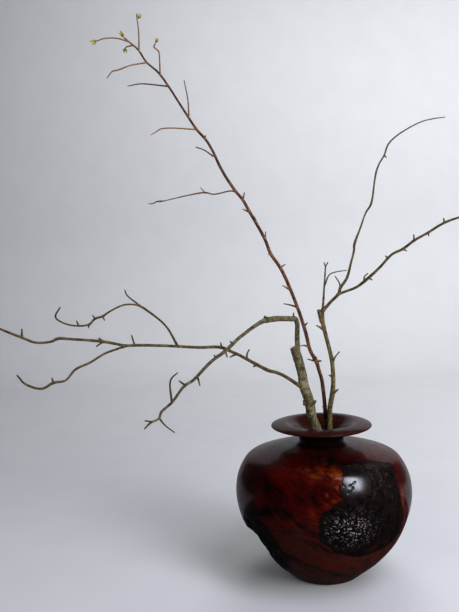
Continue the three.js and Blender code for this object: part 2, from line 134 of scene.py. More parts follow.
def pebbles(points: Array, size: float, seed: float) -> Array:
    """Rounded grains: 1 at each grain's middle, falling with the square of the distance.

    Args:
        points: places, with 3 in the last axis.
        size: how far apart the grains are.
        seed: which pattern.

    Returns:
        Values from 0 to 1.
    """
    scaled = points / size
    cell = np.floor(scaled)
    nearest = np.full(points.shape[:-1], np.inf)
    for step in itertools.product((-1.0, 0.0, 1.0), repeat=3):
        near = cell + np.array(step)
        spot = np.stack([scattered(near, seed + turn) for turn in (0.0, 7.0, 13.0)], axis=-1)
        nearest = np.minimum(nearest, np.sum((near + spot - scaled) ** 2, axis=-1))
    return np.clip(1.0 - nearest, 0.0, 1.0)


def unit(vectors: Array) -> Array:
    """The same directions at length 1."""
    return vectors / np.linalg.norm(vectors, axis=-1, keepdims=True)


def full_turn(columns: int) -> Array:
    """Even angles round a circle, as one row, in radians."""
    return np.linspace(0.0, 2.0 * np.pi, columns, endpoint=False)[None, :]


def spokes(turn: Array, side: Array, across: Array) -> Array:
    """Directions round an axis: the angle's cosine along side and its sine along across."""
    return np.cos(turn)[..., None] * side + np.sin(turn)[..., None] * across


def bells(points: Array, marks: Array, reach: Array) -> Array:
    """A bell curve of each point's distance to each mark's x, y, z, marks in the last axis."""
    gap = np.linalg.norm(points[:, :, None] - marks[None, None, :, :3], axis=-1)
    return np.exp(-((gap / reach) ** 2))


def stacked(*values: Array | float) -> Array:
    """Grids side by side in a new last axis, each spread to the largest one's shape."""
    return np.stack(np.broadcast_arrays(*values), axis=-1)


def curve_through(rows: Route | Outline, spacing: float) -> Array:
    """Even samples of a centripetal Catmull-Rom curve through the rows' points.

    Each stretch is a cubic whose end slopes come from the square roots of the neighbouring
    distances, and the curve runs straight on past its ends.

    Args:
        rows: x, y, z and any further columns, which are carried along, or two columns.
        spacing: about how far apart the samples are.

    Returns:
        The samples, one row each.
    """
    knots = np.array(rows, dtype=float)
    padded = np.vstack([2 * knots[0] - knots[1], knots, 2 * knots[-1] - knots[-2]])
    distances = np.linalg.norm(np.diff(padded[:, :3], axis=0), axis=1)
    gaps = np.sqrt(np.maximum(distances, 1e-9))[:, None]
    before, here, after = gaps[:-2], gaps[1:-1], gaps[2:]
    p0, p1, p2, p3 = padded[:-3], padded[1:-2], padded[2:-1], padded[3:]
    leave = ((p1 - p0) / before - (p2 - p0) / (before + here) + (p2 - p1) / here) * here
    reach = ((p2 - p1) / here - (p3 - p1) / (here + after) + (p3 - p2) / after) * here
    counts = np.maximum(1, np.ceil(distances[1:-1] / spacing)).astype(int)
    stretch = np.repeat(np.arange(len(counts)), counts)
    first = np.concatenate([[0], np.cumsum(counts)[:-1]])
    share = ((np.arange(len(stretch)) - first[stretch]) / counts[stretch])[:, None]
    a, b, c, d = p1[stretch], p2[stretch], leave[stretch], reach[stretch]
    bend = -3 * a + 3 * b - 2 * c - d
    twist = 2 * a - 2 * b + c + d
    return np.vstack([a + c * share + bend * share**2 + twist * share**3, knots[-1]])


# ------------------------------------------------------------------ surfaces


@dataclass
class Skin:
    """Closed surfaces as arrays, with values painted on their points."""

    points: Array
    quads: Array
    triangles: Array
    paint: dict[str, Array]

    @staticmethod
    def round_body(rings: Array, paint: dict[str, Array]) -> Skin:
        """A closed body from rings of points, with a pole at the middle of each end ring.

        Args:
            rings: (rings, columns, 3) points; the last column joins the first.
            paint: name to (rings, columns) or (rings, columns, 3) values.

        Returns:
            The body, facing outwards where the columns turn left about the rings' direction.
        """
        count, columns = rings.shape[:2]
        poles = rings[[0, -1]].mean(axis=1)
        points = np.vstack([rings.reshape(-1, 3), poles])
        row = np.arange(count - 1)[:, None] * columns
        here = np.arange(columns)[None, :]
        beside = (here + 1) % columns
        corners = (row + here, row + beside, row + columns + beside, row + columns + here)
        quads = np.stack(corners, axis=-1).reshape(-1, 4)
        top = (count - 1) * columns
        low_pole = np.full(columns, count * columns)
        low = np.stack([low_pole, beside[0], here[0]], axis=-1)
        high = np.stack([low_pole + 1, top + here[0], top + beside[0]], axis=-1)
        painted = {}
        for name, values in paint.items():
            flat = values.reshape(count * columns, -1)
            ends = np.stack([values[0].mean(axis=0), values[-1].mean(axis=0)]).reshape(2, -1)
            painted[name] = np.vstack([flat, ends]).squeeze()
        return Skin(points, quads, np.vstack([low, high]), painted)

    @staticmethod
    def joined(skins: list[Skin]) -> Skin:
        """One skin that holds several, each still closed."""
        starts = np.cumsum([0] + [len(skin.points) for skin in skins[:-1]])
        return Skin(
            np.vstack([skin.points for skin in skins]),
            np.vstack([skin.quads + start for skin, start in zip(skins, starts)]),
            np.vstack([skin.triangles + start for skin, start in zip(skins, starts)]),
            {name: np.concatenate([s.paint[name] for s in skins]) for name in skins[0].paint},
        )

    def piece(self, name: str, look: bpy.types.Material, slot: str, node: str) -> None:
        """Puts the skin into the scene as a piece of the object.

        Args:
            name: the piece's name.
            look: its material.
            slot: the record's material slot; not used.
            node: the CAD node that the piece stands for.
        """
        mesh = bpy.data.meshes.new(name)
        mesh.vertices.add(len(self.points))
        mesh.vertices.foreach_set("co", (self.points * MM).astype(np.float32).ravel())
        corners = np.concatenate([self.quads.ravel(), self.triangles.ravel()])
        mesh.loops.add(len(corners))
        mesh.loops.foreach_set("vertex_index", corners.astype(np.int32))
        sizes = np.repeat([4, 3], [len(self.quads), len(self.triangles)])
        mesh.polygons.add(len(sizes))
        starts = np.concatenate([[0], np.cumsum(sizes)[:-1]])
        mesh.polygons.foreach_set("loop_start", starts.astype(np.int32))
        mesh.polygons.foreach_set("use_smooth", np.ones(len(sizes), dtype=bool))
        mesh.update(calc_edges=True)
        for label, values in self.paint.items():
            kind, key = ("FLOAT_VECTOR", "vector") if values.ndim == 2 else ("FLOAT", "value")
            layer = mesh.attributes.new(label, kind, "POINT")
            layer.data.foreach_set(key, values.astype(np.float32).ravel())
        mesh.materials.append(look)
        made = bpy.data.objects.new(name, mesh)
        bpy.context.scene.collection.objects.link(made)
        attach(made, BODY)
        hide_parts(node)
        LOG.info("%s: %d points", name, len(self.points))


# ------------------------------------------------------------------ shaders


class Shader:
    """One material, with the colour and the relief that it has so far."""

    def __init__(self, name: str, attribute: str = "") -> None:
        """An empty material with a principled surface.

        Args:
            name: the material's name.
            attribute: the mesh's own coordinates for the patterns, instead of Object's.
        """
        self.material = bpy.data.materials.new(name)
        self.material.use_nodes = True
        self.tree = self.material.node_tree
        self.tree.nodes.clear()
        self.surface = self.node("ShaderNodeBsdfPrincipled")
        out = self.node("ShaderNodeOutputMaterial")
        self.tree.links.new(self.surface.outputs[0], out.inputs[0])
        if attribute:
            source = self.node("ShaderNodeAttribute", attribute_name=attribute)
            self.vector = source.outputs["Vector"]
        else:
            self.vector = self.node("ShaderNodeTexCoord").outputs["Object"]
        self.colour: object = None
        self.lift: object = None

    def node(self, kind: str, inputs: dict | None = None, **settings: object) -> bpy.types.Node:
        """A new node.

        Args:
            kind: Blender's node type.
            inputs: input name or number to a value or another node's output.
            settings: the node's own settings.

        Returns:
            The node.
        """
        made = self.tree.nodes.new(kind)
        for key, value in settings.items():
            setattr(made, key, value)
        for key, value in (inputs or {}).items():
            self.feed(made.inputs[key], value)
        return made

    def feed(self, socket: bpy.types.NodeSocket, value: object) -> None:
        """Links or sets one input."""
        if isinstance(value, bpy.types.NodeSocket):
            self.tree.links.new(value, socket)
        elif isinstance(value, tuple) and len(value) == 3 and socket.type == "RGBA":
            socket.default_value = (*value, 1.0)
        else:
            socket.default_value = value

    def painted(self, name: str) -> bpy.types.NodeSocket:
        """A value painted on the mesh."""
        return self.node("ShaderNodeAttribute", attribute_name=name).outputs["Fac"]

    def stretched(self, scale: Place | None, turn: Place) -> bpy.types.NodeSocket:
        """Coordinates turned (degrees) and then scaled, so that a long figure lies slanting."""
        if scale is None:
            return self.vector
        inverse = tuple(1.0 / value for value in scale)
        turned = tuple(map(math.radians, turn))
        inputs = {"Vector": self.vector, "Scale": inverse, "Rotation": turned}
        return self.node("ShaderNodeMapping", inputs, vector_type="TEXTURE").outputs[0]

    def noise(
        self, size: float, detail: float = 4, rough: float = 0.5, warp: float = 0,
        scale: Place | None = None, turn: Place = (0, 0, 0),
    ) -> bpy.types.NodeSocket:
        """Cloudy noise from 0 to 1 whose lumps are about size mm apart, then stretched."""
        inputs = {
            "Vector": self.stretched(scale, turn), "Scale": 1 / (size * MM), "Detail": detail,
            "Roughness": rough, "Distortion": warp,
        }
        return self.node("ShaderNodeTexNoise", inputs).outputs["Fac"]

    def grains(
        self, size: float, output: str = "Distance", scale: Place | None = None
    ) -> bpy.types.NodeSocket:
        """Voronoi cells about size mm apart."""
        inputs = {"Vector": self.stretched(scale, (0, 0, 0)), "Scale": 1 / (size * MM)}
        return self.node("ShaderNodeTexVoronoi", inputs).outputs[output]

    def ramp(self, value: object, *stops: tuple[float, Colour]) -> object:
        """A colour for each value, blended between stops of (value, colour)."""
        made = self.node("ShaderNodeValToRGB", {"Fac": value})
        points = made.color_ramp.elements
        while len(points) < len(stops):
            points.new(0.5)
        for point, (position, colour) in zip(points, stops):
            point.position = position
            point.color = (*colour, 1.0)
        return made.outputs["Color"]

    def range(self, value: object, low: float, high: float, a: float = 0, b: float = 1) -> object:
        """The value moved from low..high to a..b, and held inside it, with an S-curve."""
        inputs = {"Value": value, "From Min": low, "From Max": high, "To Min": a, "To Max": b}
        return self.node(
            "ShaderNodeMapRange", inputs, interpolation_type="SMOOTHSTEP"
        ).outputs["Result"]

    def combined(self, kind: str, a: object, b: object) -> object:
        """Two values added, multiplied or otherwise combined."""
        return self.node("ShaderNodeMath", {0: a, 1: b}, operation=kind).outputs[0]

    def times(self, a: object, b: object) -> object:
        """Two values multiplied."""
        return self.combined("MULTIPLY", a, b)

    def mixed(self, share: float, a: object, b: object) -> object:
        """A share of a, and the rest of b."""
        return self.combined("ADD", self.times(a, share), self.times(b, 1.0 - share))

    def layer(self, share: object, colour: object) -> None:
        """Lays a share of another colour over the surface."""
        made = self.node("ShaderNodeMix", data_type="RGBA")
        for index, value in ((0, share), (6, self.colour), (7, colour)):  # factor, A and B
            self.feed(made.inputs[index], value)
        self.colour = made.outputs[2]

    def emboss(self, height: object, strength: float, depth: float) -> None:
        """Bumps the surface by a height, depth mm deep, on top of its other bumps."""
        inputs = {"Height": height, "Strength": strength, "Distance": depth * MM}
        if self.lift is not None:
            inputs["Normal"] = self.lift
        self.lift = self.node("ShaderNodeBump", inputs).outputs[0]

    def finish(self, roughness: object, **further: object) -> bpy.types.Material:
        """Feeds the surface its colour, relief and roughness.

        Args:
            roughness: the roughness.
            further: further inputs, with _ for a space.

        Returns:
            The material.
        """
        basic = {"Base Color": self.colour, "Roughness": roughness, "Normal": self.lift}
        for key, value in (basic | further).items():
            self.feed(self.surface.inputs[key.replace("_", " ")], value)
        return self.material


@dataclass(frozen=True)
class BarkFinish:
    """Bark of one kind of wood."""

    name: str
    deep: Colour
    main: Colour
    light: Colour
    crust: Colour
    crust_share: float
    node: Colour
    roughness: float
    grain: float
    pores: float
    relief: float
    pale: Colour = (0.42, 0.36, 0.24)
    heart: Colour = (0.2, 0.14, 0.08)
    sap: Colour = (0.45, 0.36, 0.24)

    def material(self) -> bpy.types.Material:
        """Streaked bark with lichen, pale pores, darker knots and pale cut ends."""
        made, grain = Shader(self.name, "bark"), self.grain
        streak = made.noise(grain, 6, 0.62, 0.4, (1, 1, 0.16))
        patch = made.noise(3.5 * grain, 4, 0.55, 0.3)
        fine = made.noise(0.45 * grain, 3, 0.6)
        tone = made.mixed(0.4, streak, patch)
        made.colour = made.ramp(tone, (0.38, self.deep), (0.49, self.main), (0.6, self.light))
        low = 0.64 - 0.2 * self.crust_share
        crust = made.range(made.noise(2.1 * grain, 7, 0.68, 0.8), low, low + 0.05)
        made.layer(made.times(crust, 0.85), self.crust)
        pore = made.range(made.grains(1.3 * grain, scale=(1, 1, 0.55)), 0.1, 0.2, 1, 0)
        made.layer(made.times(pore, self.pores), self.light)
        knot = made.times(made.painted("node"), made.range(fine, 0.3, 0.6, 0.35, 1))
        made.layer(knot, self.node)
        made.layer(made.painted("pale"), self.pale)
        ring = made.noise(0.9, 4, 0.6, scale=(1, 1, 0.2))
        made.layer(made.painted("cut"), made.ramp(ring, (0.35, self.heart), (0.65, self.sap)))
        made.emboss(streak, 0.6 * self.relief, 0.5)
        made.emboss(crust, 0.5 * self.relief, 0.25)
        made.emboss(fine, 0.45 * self.relief, 0.15)
        made.emboss(pore, 0.4 * self.pores, 0.1)
        rough = made.range(streak, 0.3, 0.7, self.roughness + 0.08, self.roughness - 0.08)
        return made.finish(rough, Specular_IOR_Level=0.35)


OLIVE_BARK = BarkFinish(
    "olive_bark", deep=(0.017, 0.013, 0.0056), main=(0.065, 0.052, 0.022),
    light=(0.14, 0.11, 0.054), crust=(0.2, 0.18, 0.1), crust_share=0.55,
    node=(0.03, 0.02, 0.012), roughness=0.85, grain=1.6, pores=0.15, relief=1.0,
)
OLIVE_TWIG_BARK = BarkFinish(
    "olive_twig_bark", deep=(0.017, 0.011, 0.0034), main=(0.058, 0.038, 0.012),
    light=(0.13, 0.093, 0.031), crust=(0.2, 0.15, 0.059), crust_share=0.35,
    node=(0.035, 0.02, 0.012), roughness=0.8, grain=1.2, pores=0.25, relief=0.8,
)
RED_BARK = BarkFinish(
    "red_bark", deep=(0.021, 0.0066, 0.0029), main=(0.066, 0.022, 0.0092),
    light=(0.16, 0.072, 0.032), crust=(0.18, 0.11, 0.055), crust_share=0.12,
    node=(0.42, 0.19, 0.07), roughness=0.55, grain=1.1, pores=0.7, relief=0.6,
)
TAN_TWIG_BARK = BarkFinish(
    "tan_twig_bark", deep=(0.057, 0.024, 0.0077), main=(0.16, 0.072, 0.023),
    light=(0.32, 0.17, 0.061), crust=(0.38, 0.24, 0.094), crust_share=0.1,
    node=(0.1, 0.04, 0.02), roughness=0.55, grain=0.9, pores=0.4, relief=0.6,
)
GREY_BARK = BarkFinish(
    "grey_bark", deep=(0.024, 0.016, 0.0058), main=(0.083, 0.059, 0.022),
    light=(0.18, 0.13, 0.049), crust=(0.25, 0.2, 0.087), crust_share=0.38,
    node=(0.04, 0.024, 0.014), roughness=0.78, grain=1.3, pores=0.3, relief=0.85,
)


@dataclass(frozen=True)
class BudFinish:
    """Overlapping dry scales of a resting bud."""

    name: str = "bud_scales"
    dark: Colour = (0.05, 0.018, 0.01)
    edge: Colour = (0.3, 0.15, 0.07)
    line: Colour = (0.14, 0.06, 0.03)

    def material(self) -> bpy.types.Material:
        """Brown scales with paler tan edges and fine lines along the bud."""
        made = Shader(self.name, "bark")
        line = made.noise(0.5, 4, 0.6, scale=(1, 1, 0.2))
        made.colour = self.dark
        made.layer(made.painted("scale"), self.edge)
        made.layer(made.range(line, 0.4, 0.7, 0, 0.35), self.line)
        made.emboss(line, 0.4, 0.12)
        return made.finish(made.range(line, 0.3, 0.7, 0.6, 0.4))


@dataclass(frozen=True)
class LeafFinish:
    """Soft folded young leaf."""

    name: str = "young_leaf"
    shade: Colour = (0.11, 0.11, 0.01)
    main: Colour = (0.38, 0.34, 0.022)
    rib: Colour = (0.58, 0.52, 0.1)
    tinge: Colour = (0.3, 0.12, 0.04)

    def material(self) -> bpy.types.Material:
        """Yellow-green with pale ribs, a brown tinge at the tips and a silky surface."""
        made = Shader(self.name, "bark")
        made.colour = made.ramp(made.noise(1.4, 4, 0.55), (0.3, self.shade), (0.6, self.main))
        made.layer(made.painted("scale"), self.rib)
        made.layer(made.times(made.painted("node"), 0.75), self.tinge)
        down = made.noise(0.35, 3, 0.6, scale=(1, 1, 0.25))
        made.emboss(down, 0.35, 0.12)
        return made.finish(
            made.range(down, 0.3, 0.7, 0.6, 0.45),
            Subsurface_Weight=0.12, Subsurface_Scale=0.001, Sheen_Weight=0.15,
        )


@dataclass(frozen=True)
class BurlFinish:
    """Polished dark burl wood."""

    name: str = "polished_burl"
    deep: Colour = (0.0045, 0.0003, 0.0003)
    red: Colour = (0.034, 0.0004, 0.0003)
    warm: Colour = (0.066, 0.0016, 0.0005)
    ember: Colour = (0.045, 0.0012, 0.0004)
    flame: Colour = (0.13, 0.014, 0.0016)
    bright: Colour = (0.34, 0.075, 0.007)
    earth: Colour = (0.013, 0.0035, 0.0026)
    brown: Colour = (0.042, 0.0115, 0.0075)
    # near-black of the dark figure, veins and burl eyes, also laid on as painted shade on the wall
    soot: Colour = (0.0018, 0.0012, 0.0011)

    def material(self) -> bpy.types.Material:
        """Swirled red wood with flame figure, dark veins, burl eyes, painted shade and a polished
        coat.
        """
        made = Shader(self.name)
        swirl = made.noise(70, 4, 0.5, 1.3)
        curl = made.noise(26, 4, 0.52, 1.6, (1, 1, 1.7), (15, 30, 10))
        streak = made.noise(14, 4, 0.52, 1.4, (0.35, 1, 1.3), (0, 26, 0))
        fibre = made.noise(4, 5, 0.62, 1.4, (1, 1, 3.4), (12, 25, 0))
        tone = made.mixed(0.45, swirl, curl)
        made.colour = made.ramp(tone, (0.38, self.deep), (0.52, self.red), (0.68, self.warm))
        burning = made.ramp(
            made.mixed(0.4, curl, streak),
            (0.33, self.deep), (0.43, self.ember), (0.54, self.flame), (0.7, self.bright),
        )
        made.layer(made.painted("figure"), burning)
        browned = made.times(made.painted("brown"), made.range(curl, 0.3, 0.72, 1, 0.6))
        earth = made.ramp(streak, (0.36, self.earth), (0.5, self.brown), (0.72, self.warm))
        made.layer(browned, earth)
        made.layer(made.range(fibre, 0.36, 0.56, 0.45, 0), self.soot)
        eye = made.grains(9, scale=(1, 1, 0.8))
        made.layer(made.range(eye, 0.04, 0.12, 0.6, 0), self.soot)
        # near-black marks and veins of the wood, plus painted shade under the lip, on the neck and
        # down the left side
        made.layer(made.painted("soot"), self.soot)
        made.emboss(fibre, 0.05, 0.2)
        made.emboss(made.times(made.painted("soot"), curl), 0.2, 0.5)
        return made.finish(
            made.range(fibre, 0.3, 0.7, 0.5, 0.38),
            Coat_Weight=0.25, Coat_Roughness=0.08, Coat_IOR=1.5, Specular_IOR_Level=0.03,
        )


@dataclass(frozen=True)
class InclusionFinish:
    """Rough dark bark grown into the wood, under the same polish."""

    name: str = "bark_inclusion"
    soot: Colour = (0.0013, 0.001, 0.001)
    bark: Colour = (0.0068, 0.0036, 0.0029)
    gold: Colour = (0.3, 0.14, 0.03)
    ember: Colour = (0.1, 0.022, 0.005)
    # pale bluish colour of the painted glints: painted highlights on single grains
    glint: Colour = (0.42, 0.38, 0.46)

    def material(self) -> bpy.types.Material:
        """Nearly black grains with warm hollows, gold flecks, and glints: painted highlights on
        pale cells beside the lacquer's own.
        """
        made = Shader(self.name)
        coarse, fine = made.noise(9, 6, 0.65, 0.8), made.noise(1.6, 5, 0.65, 0.5)
        made.colour = made.ramp(coarse, (0.35, self.soot), (0.62, self.bark))
        warm = made.range(made.noise(12, 4, 0.6, 1.0, (1, 1, 0.4)), 0.42, 0.62)
        made.layer(made.times(made.painted("warm"), warm), self.ember)
        fleck = made.range(made.grains(2.2), 0.1, 0.22, 1, 0)
        chosen = made.range(made.noise(5, 3, 0.5), 0.42, 0.54)
        made.layer(made.times(made.times(fleck, chosen), made.painted("gold")), self.gold)
        facet = made.range(made.grains(1.7, "Color"), 0.62, 0.8)
        broken = made.range(made.noise(1.6, 4, 0.7, 0.8), 0.47, 0.6)
        # painted glints: pale colour on scattered cells in the glint area, standing in for
        # highlights
        made.layer(made.times(made.times(facet, broken), made.painted("glint")), self.glint)
        grit = made.combined("ADD", made.grains(1.7), fine)
        made.emboss(made.times(made.painted("rough"), coarse), 0.5, 1.2)
        made.emboss(made.times(made.painted("rough"), grit), 0.6, 0.5)
        return made.finish(
            made.range(fine, 0.3, 0.7, 0.6, 0.36), Coat_Weight=0.12, Coat_Roughness=0.12,
            Specular_IOR_Level=0.05, Coat_Normal=made.lift,
        )


@dataclass(frozen=True)
class LobeFinish:
    """Smooth dark inclusion under a high polish."""

    name: str = "polished_inclusion"
    black: Colour = (0.0016, 0.001, 0.001)
    umber: Colour = (0.0125, 0.0062, 0.005)
    crack: Colour = (0.0006, 0.0005, 0.0005)

    def material(self) -> bpy.types.Material:
        """Dark brown with slanting fibres that break up its highlight."""
        made = Shader(self.name)
        tone = made.noise(14, 5, 0.6, 1.0, (1, 1, 0.6), (0, 20, 0))
        fibre = made.noise(1.3, 4, 0.65, 0.8, (1, 1, 0.3), (0, 40, 0))
        made.colour = made.ramp(tone, (0.38, self.black), (0.66, self.umber))
        made.layer(made.painted("crack"), self.crack)
        made.emboss(fibre, 0.1, 0.2)
        return made.finish(
            made.range(fibre, 0.3, 0.7, 0.6, 0.45),
            Coat_Weight=made.times(made.painted("polish"), 0.9), Coat_Roughness=0.22,
            Coat_IOR=1.9, Specular_IOR_Level=0.05, Coat_Normal=made.lift,
        )


@dataclass(frozen=True)
class WaterFinish:
    """Still water."""

    name: str = "still_water"
    shade: Colour = (0.5, 0.56, 0.52)
    main: Colour = (0.56, 0.62, 0.58)

    def material(self) -> bpy.types.Material:
        """Clear, with a faint ripple."""
        made = Shader(self.name)
        ripple = made.noise(30, 2, 0.5)
        made.colour = made.ramp(ripple, (0.4, self.shade), (0.6, self.main))
        made.emboss(ripple, 0.05, 0.5)
        return made.finish(0.04, Transmission_Weight=0.9, IOR=1.333)


# ------------------------------------------------------------------ round wood


class End(Enum):
    """How a limb ends."""

    TIP = "rounded off"
    CUT = "pruned flat"


class Age(Enum):
    """Which of its branch's two barks a limb wears."""

    OLD = "rough bark"
    YOUNG = "twig bark"


LEAST_RADIUS = 0.25
KNOT_REACH, KNOT_MARGIN, KNOT_RISE = 1.3, 0.9, 0.35  # shares of the swelling, and mm between
RUB_SIZE, RUB_EDGE = 3.0, (-0.5, 0.3)
BARK_SHIFT = 37.0  # how far apart the bark patterns of limbs with seeds 1 apart start, in mm
WAVES = ((1, 31.0), (2, 17.0), (2, 9.0), (3, 12.0), (4, 6.0), (5, 4.4))  # crests round, mm along


@dataclass(frozen=True)
class Limb:
    """Round wood along a route of (x, y, z, radius)."""

    route: Route = ()
    name: str = ""
    age: Age = Age.YOUNG
    columns: int = 14
    spacing: float = 0.9
    ridges: int = 0
    ridge_height: float = 0.0
    lumps: float = 0.035
    end: End = End.TIP
    seed: float = 1.0
    rubbed: Route = ()

    def skin(self, knots: Array) -> Skin:
        """The limb's closed surface.

        Every ring is a circle square to the route. Its radius follows the route's radii, times
        one plus small waves round and along the limb, plus |sine| ridges of bark, and swells
        towards each knot by a bell curve of the distance.

        Args:
            knots: rows of x, y, z and swelling, where side shoots leave.

        Returns:
            The surface, painted with bark coordinates and with marks for knots, rubs and cuts.
        """
        line = curve_through(self.route, self.spacing)
        centers, radii = line[:, :3], np.maximum(line[:, 3], LEAST_RADIUS)
        steps = np.linalg.norm(np.diff(centers, axis=0), axis=1)
        travelled = np.concatenate([[0.0], np.cumsum(steps)])
        heading = unit(np.gradient(centers, axis=0))
        centers, radii, travelled, heading, cut = self.with_end(
            centers, radii, travelled, heading
        )
        least = np.linalg.svd(heading)[2][-1]
        side = unit(least - (heading @ least)[:, None] * heading)
        turn, along = full_turn(self.columns), travelled[:, None]
        out = spokes(turn, side[:, None], np.cross(heading, side)[:, None])
        size = radii[:, None] * (1.0 + self.waves(turn, along))
        points = centers[:, None] + size[..., None] * out
        bell = bells(points, knots, KNOT_REACH * knots[:, 3] + KNOT_MARGIN)
        points = points + (bell * knots[:, 3] * KNOT_RISE).max(axis=-1)[..., None] * out
        rubbed = np.zeros(size.shape)
        if self.rubbed:
            marks = np.array(self.rubbed, dtype=float)
            rubbed = bells(points, marks, marks[:, 3]).max(axis=-1)
            rubbed = rubbed * eased(clouds(points, RUB_SIZE, self.seed + 3), *RUB_EDGE)
        mean = float(np.median(radii))
        bark = stacked(mean * np.cos(turn), mean * np.sin(turn), along + BARK_SHIFT * self.seed)
        paint = {
            "bark": bark * MM,
            "node": bell.max(axis=-1),
            "pale": rubbed,
            "cut": np.broadcast_to(cut[:, None], size.shape),
        }
        return Skin.round_body(points, paint)

    def with_end(
        self, centers: Array, radii: Array, travelled: Array, heading: Array
    ) -> tuple[Array, Array, Array, Array, Array]:
        """Adds the rings that round off or cut off the limb's end.

        Args:
            centers, radii, travelled, heading: the limb's rings.

        Returns:
            The same with the end's rings, and how much of a cut face each ring is.
        """
        last, size = heading[-1], radii[-1]
        if self.end is End.CUT:
            inner = np.array([0.97, 0.93, 0.62, 0.3])
            ahead = np.array([0.02, 0.08, 0.085, 0.06]) * size
            face = np.array([0.0, 1.0, 1.0, 1.0])
        else:
            bend = np.radians([22.0, 45.0, 66.0, 82.0])
            inner, ahead = np.cos(bend), 0.9 * size * np.sin(bend)
            face = np.zeros(4)
        return (
            np.vstack([centers, centers[-1] + ahead[:, None] * last]),
            np.concatenate([radii, inner * size]),
            np.concatenate([travelled, travelled[-1] + 0.5 * np.arange(1, 5)]),
            np.vstack([heading, np.repeat(last[None], 4, axis=0)]),
            np.concatenate([np.zeros(len(radii)), face]),
        )

    def waves(self, turn: Array, along: Array) -> Array:
        """Share of the radius that each point stands out.

        Each wave is a cosine round and along the limb, times a slower cosine along it. The
        ridges are |sine| of half their number times the turn, and sway along the limb.
        """
        rng = np.random.default_rng(int(100 * self.seed))
        total = np.zeros(np.broadcast_shapes(turn.shape, along.shape))
        for crests, length in WAVES:
            phase, drift = rng.uniform(0, 2 * np.pi, 2)
            total += np.cos(crests * turn + 2 * np.pi * along / length + phase) * np.cos(
                2 * np.pi * along / (2.7 * length) + drift
            )
        ridge = np.abs(np.sin(0.5 * self.ridges * turn + 0.9 * np.sin(along / 6.0 + 1.0)))
        return self.lumps * total / 2.2 + self.ridge_height * (ridge - 0.6)


@dataclass(frozen=True)
class Bud:
    """Pointed bud with overlapping scales, on a spur's end."""

    seat: Array
    aim: Array
    width: float
    length: float
    seed: float
    rings: int = 22
    columns: int = 12

    def skin(self) -> Skin:
        """An egg-shaped body of revolution whose radius steps down spirally at each scale."""
        share, turn = np.linspace(0.0, 1.0, self.rings)[:, None], full_turn(self.columns)
        swell = np.sin(np.pi * (0.12 + 0.88 * share) ** 0.8) ** 0.75 * (1 - 0.25 * share)
        scale = np.modf(2.6 * share + 0.5 * np.cos(turn + self.seed) + 1.0)[0]
        radius = self.width * swell * (0.9 + 0.16 * (1.0 - scale)) + 0.02
        guide = np.array([0.3, 0.2, 0.93]) if abs(self.aim[2]) < 0.9 else np.array([1.0, 0.1, 0.0])
        side = unit(np.cross(self.aim, guide))
        points = self.seat + (self.length * share)[..., None] * self.aim
        points = points + radius[..., None] * spokes(turn, side, np.cross(self.aim, side))
        bark = stacked(radius * np.cos(turn), radius * np.sin(turn), self.length * share)
        rim = eased(1.0 - scale, 0.75, 1.0)
        return Skin.round_body(points, {"bark": bark * MM, "scale": rim})


@dataclass(frozen=True)
class Leaf:
    """Young leaf, folded along its middle rib."""

    seat: Array
    tip: Array
    width: float
    bend: float
    seed: float
    rings: int = 26
    columns: int = 20

    def skin(self) -> Skin:
        """A thin closed blade.

        Its outline widens as a sine and narrows to a point. The cross-section is a flat ellipse
        folded into a V by the distance from the rib, with small pleats, and the blade bows
        along its length.
        """
        share, turn = np.linspace(0.0, 1.0, self.rings)[:, None], full_turn(self.columns)
        length = float(np.linalg.norm(self.tip - self.seat))
        aim = (self.tip - self.seat) / length
        guide = np.array([math.cos(self.seed), math.sin(self.seed), 0.35])
        side = unit(np.cross(aim, guide))
        face = np.cross(aim, side)
        half = self.width * (np.sin(np.pi * share**0.8) ** 0.8 * (1 - 0.35 * share) + 0.1)
        half = half * (1 - share**6)
        across = half * np.cos(turn)
        pleat = 0.09 * np.sin(9.0 * np.abs(np.cos(turn)) + 14.0 * share)
        lift = 0.75 * np.abs(across) + pleat * half + self.bend * np.sin(np.pi * share)
        lift = lift + 0.16 * (1 - 0.7 * share) * np.sin(turn)
        points = self.seat + (length * share)[..., None] * aim
        points = points + across[..., None] * side + lift[..., None] * face
        rib = np.exp(-((across / 0.22) ** 2)) + 0.35 * eased(pleat / 0.09, 0.3, 1.0)
        paint = {
            "bark": stacked(across, lift, length * share) * MM,
            "scale": np.clip(rib, 0, 1),
            "node": eased(share + 0.1 * np.abs(np.cos(turn)), 0.75, 1.05),
        }
        return Skin.round_body(points, paint)


@dataclass(frozen=True)
class Spurs:
    """Short side spurs with collars, each tipped with a resting bud."""

    routes: tuple[Route, ...]
    bud_width: float = 1.0
    bud_length: float = 2.6

    def knots(self) -> Array:
        """Where the spurs leave the wood: x, y, z and how much it swells."""
        return np.array([[*route[0][:3], 0.55 * route[0][3]] for route in self.routes])

    def wood_skin(self) -> Skin:
        """The spurs' own wood, wider at the root."""
        return Skin.joined([
            Limb(route, columns=10, spacing=0.7, lumps=0.06, seed=2.0 + 0.37 * index).skin(
                np.array([[*route[-1][:3], 0.3]])
            )
            for index, route in enumerate(self.routes)
        ])

    def bud_skin(self) -> Skin:
        """The buds at the spurs' ends."""
        skins = []
        for index, route in enumerate(self.routes):
            last, before = np.array(route[-1][:3]), np.array(route[-2][:3])
            aim = unit(last - before)
            vary = 0.85 + 0.3 * float(scattered(np.array([index, 3.0, 5.0]), 2.0))
            width = max(route[-1][3] * 1.25, 0.62 * self.bud_width) * vary
            length = self.bud_length * vary
            seat = last - 0.35 * length * aim
            skins.append(Bud(seat, aim, width, length, 1.7 * index).skin())
        return Skin.joined(skins)


# ------------------------------------------------------------------ branches


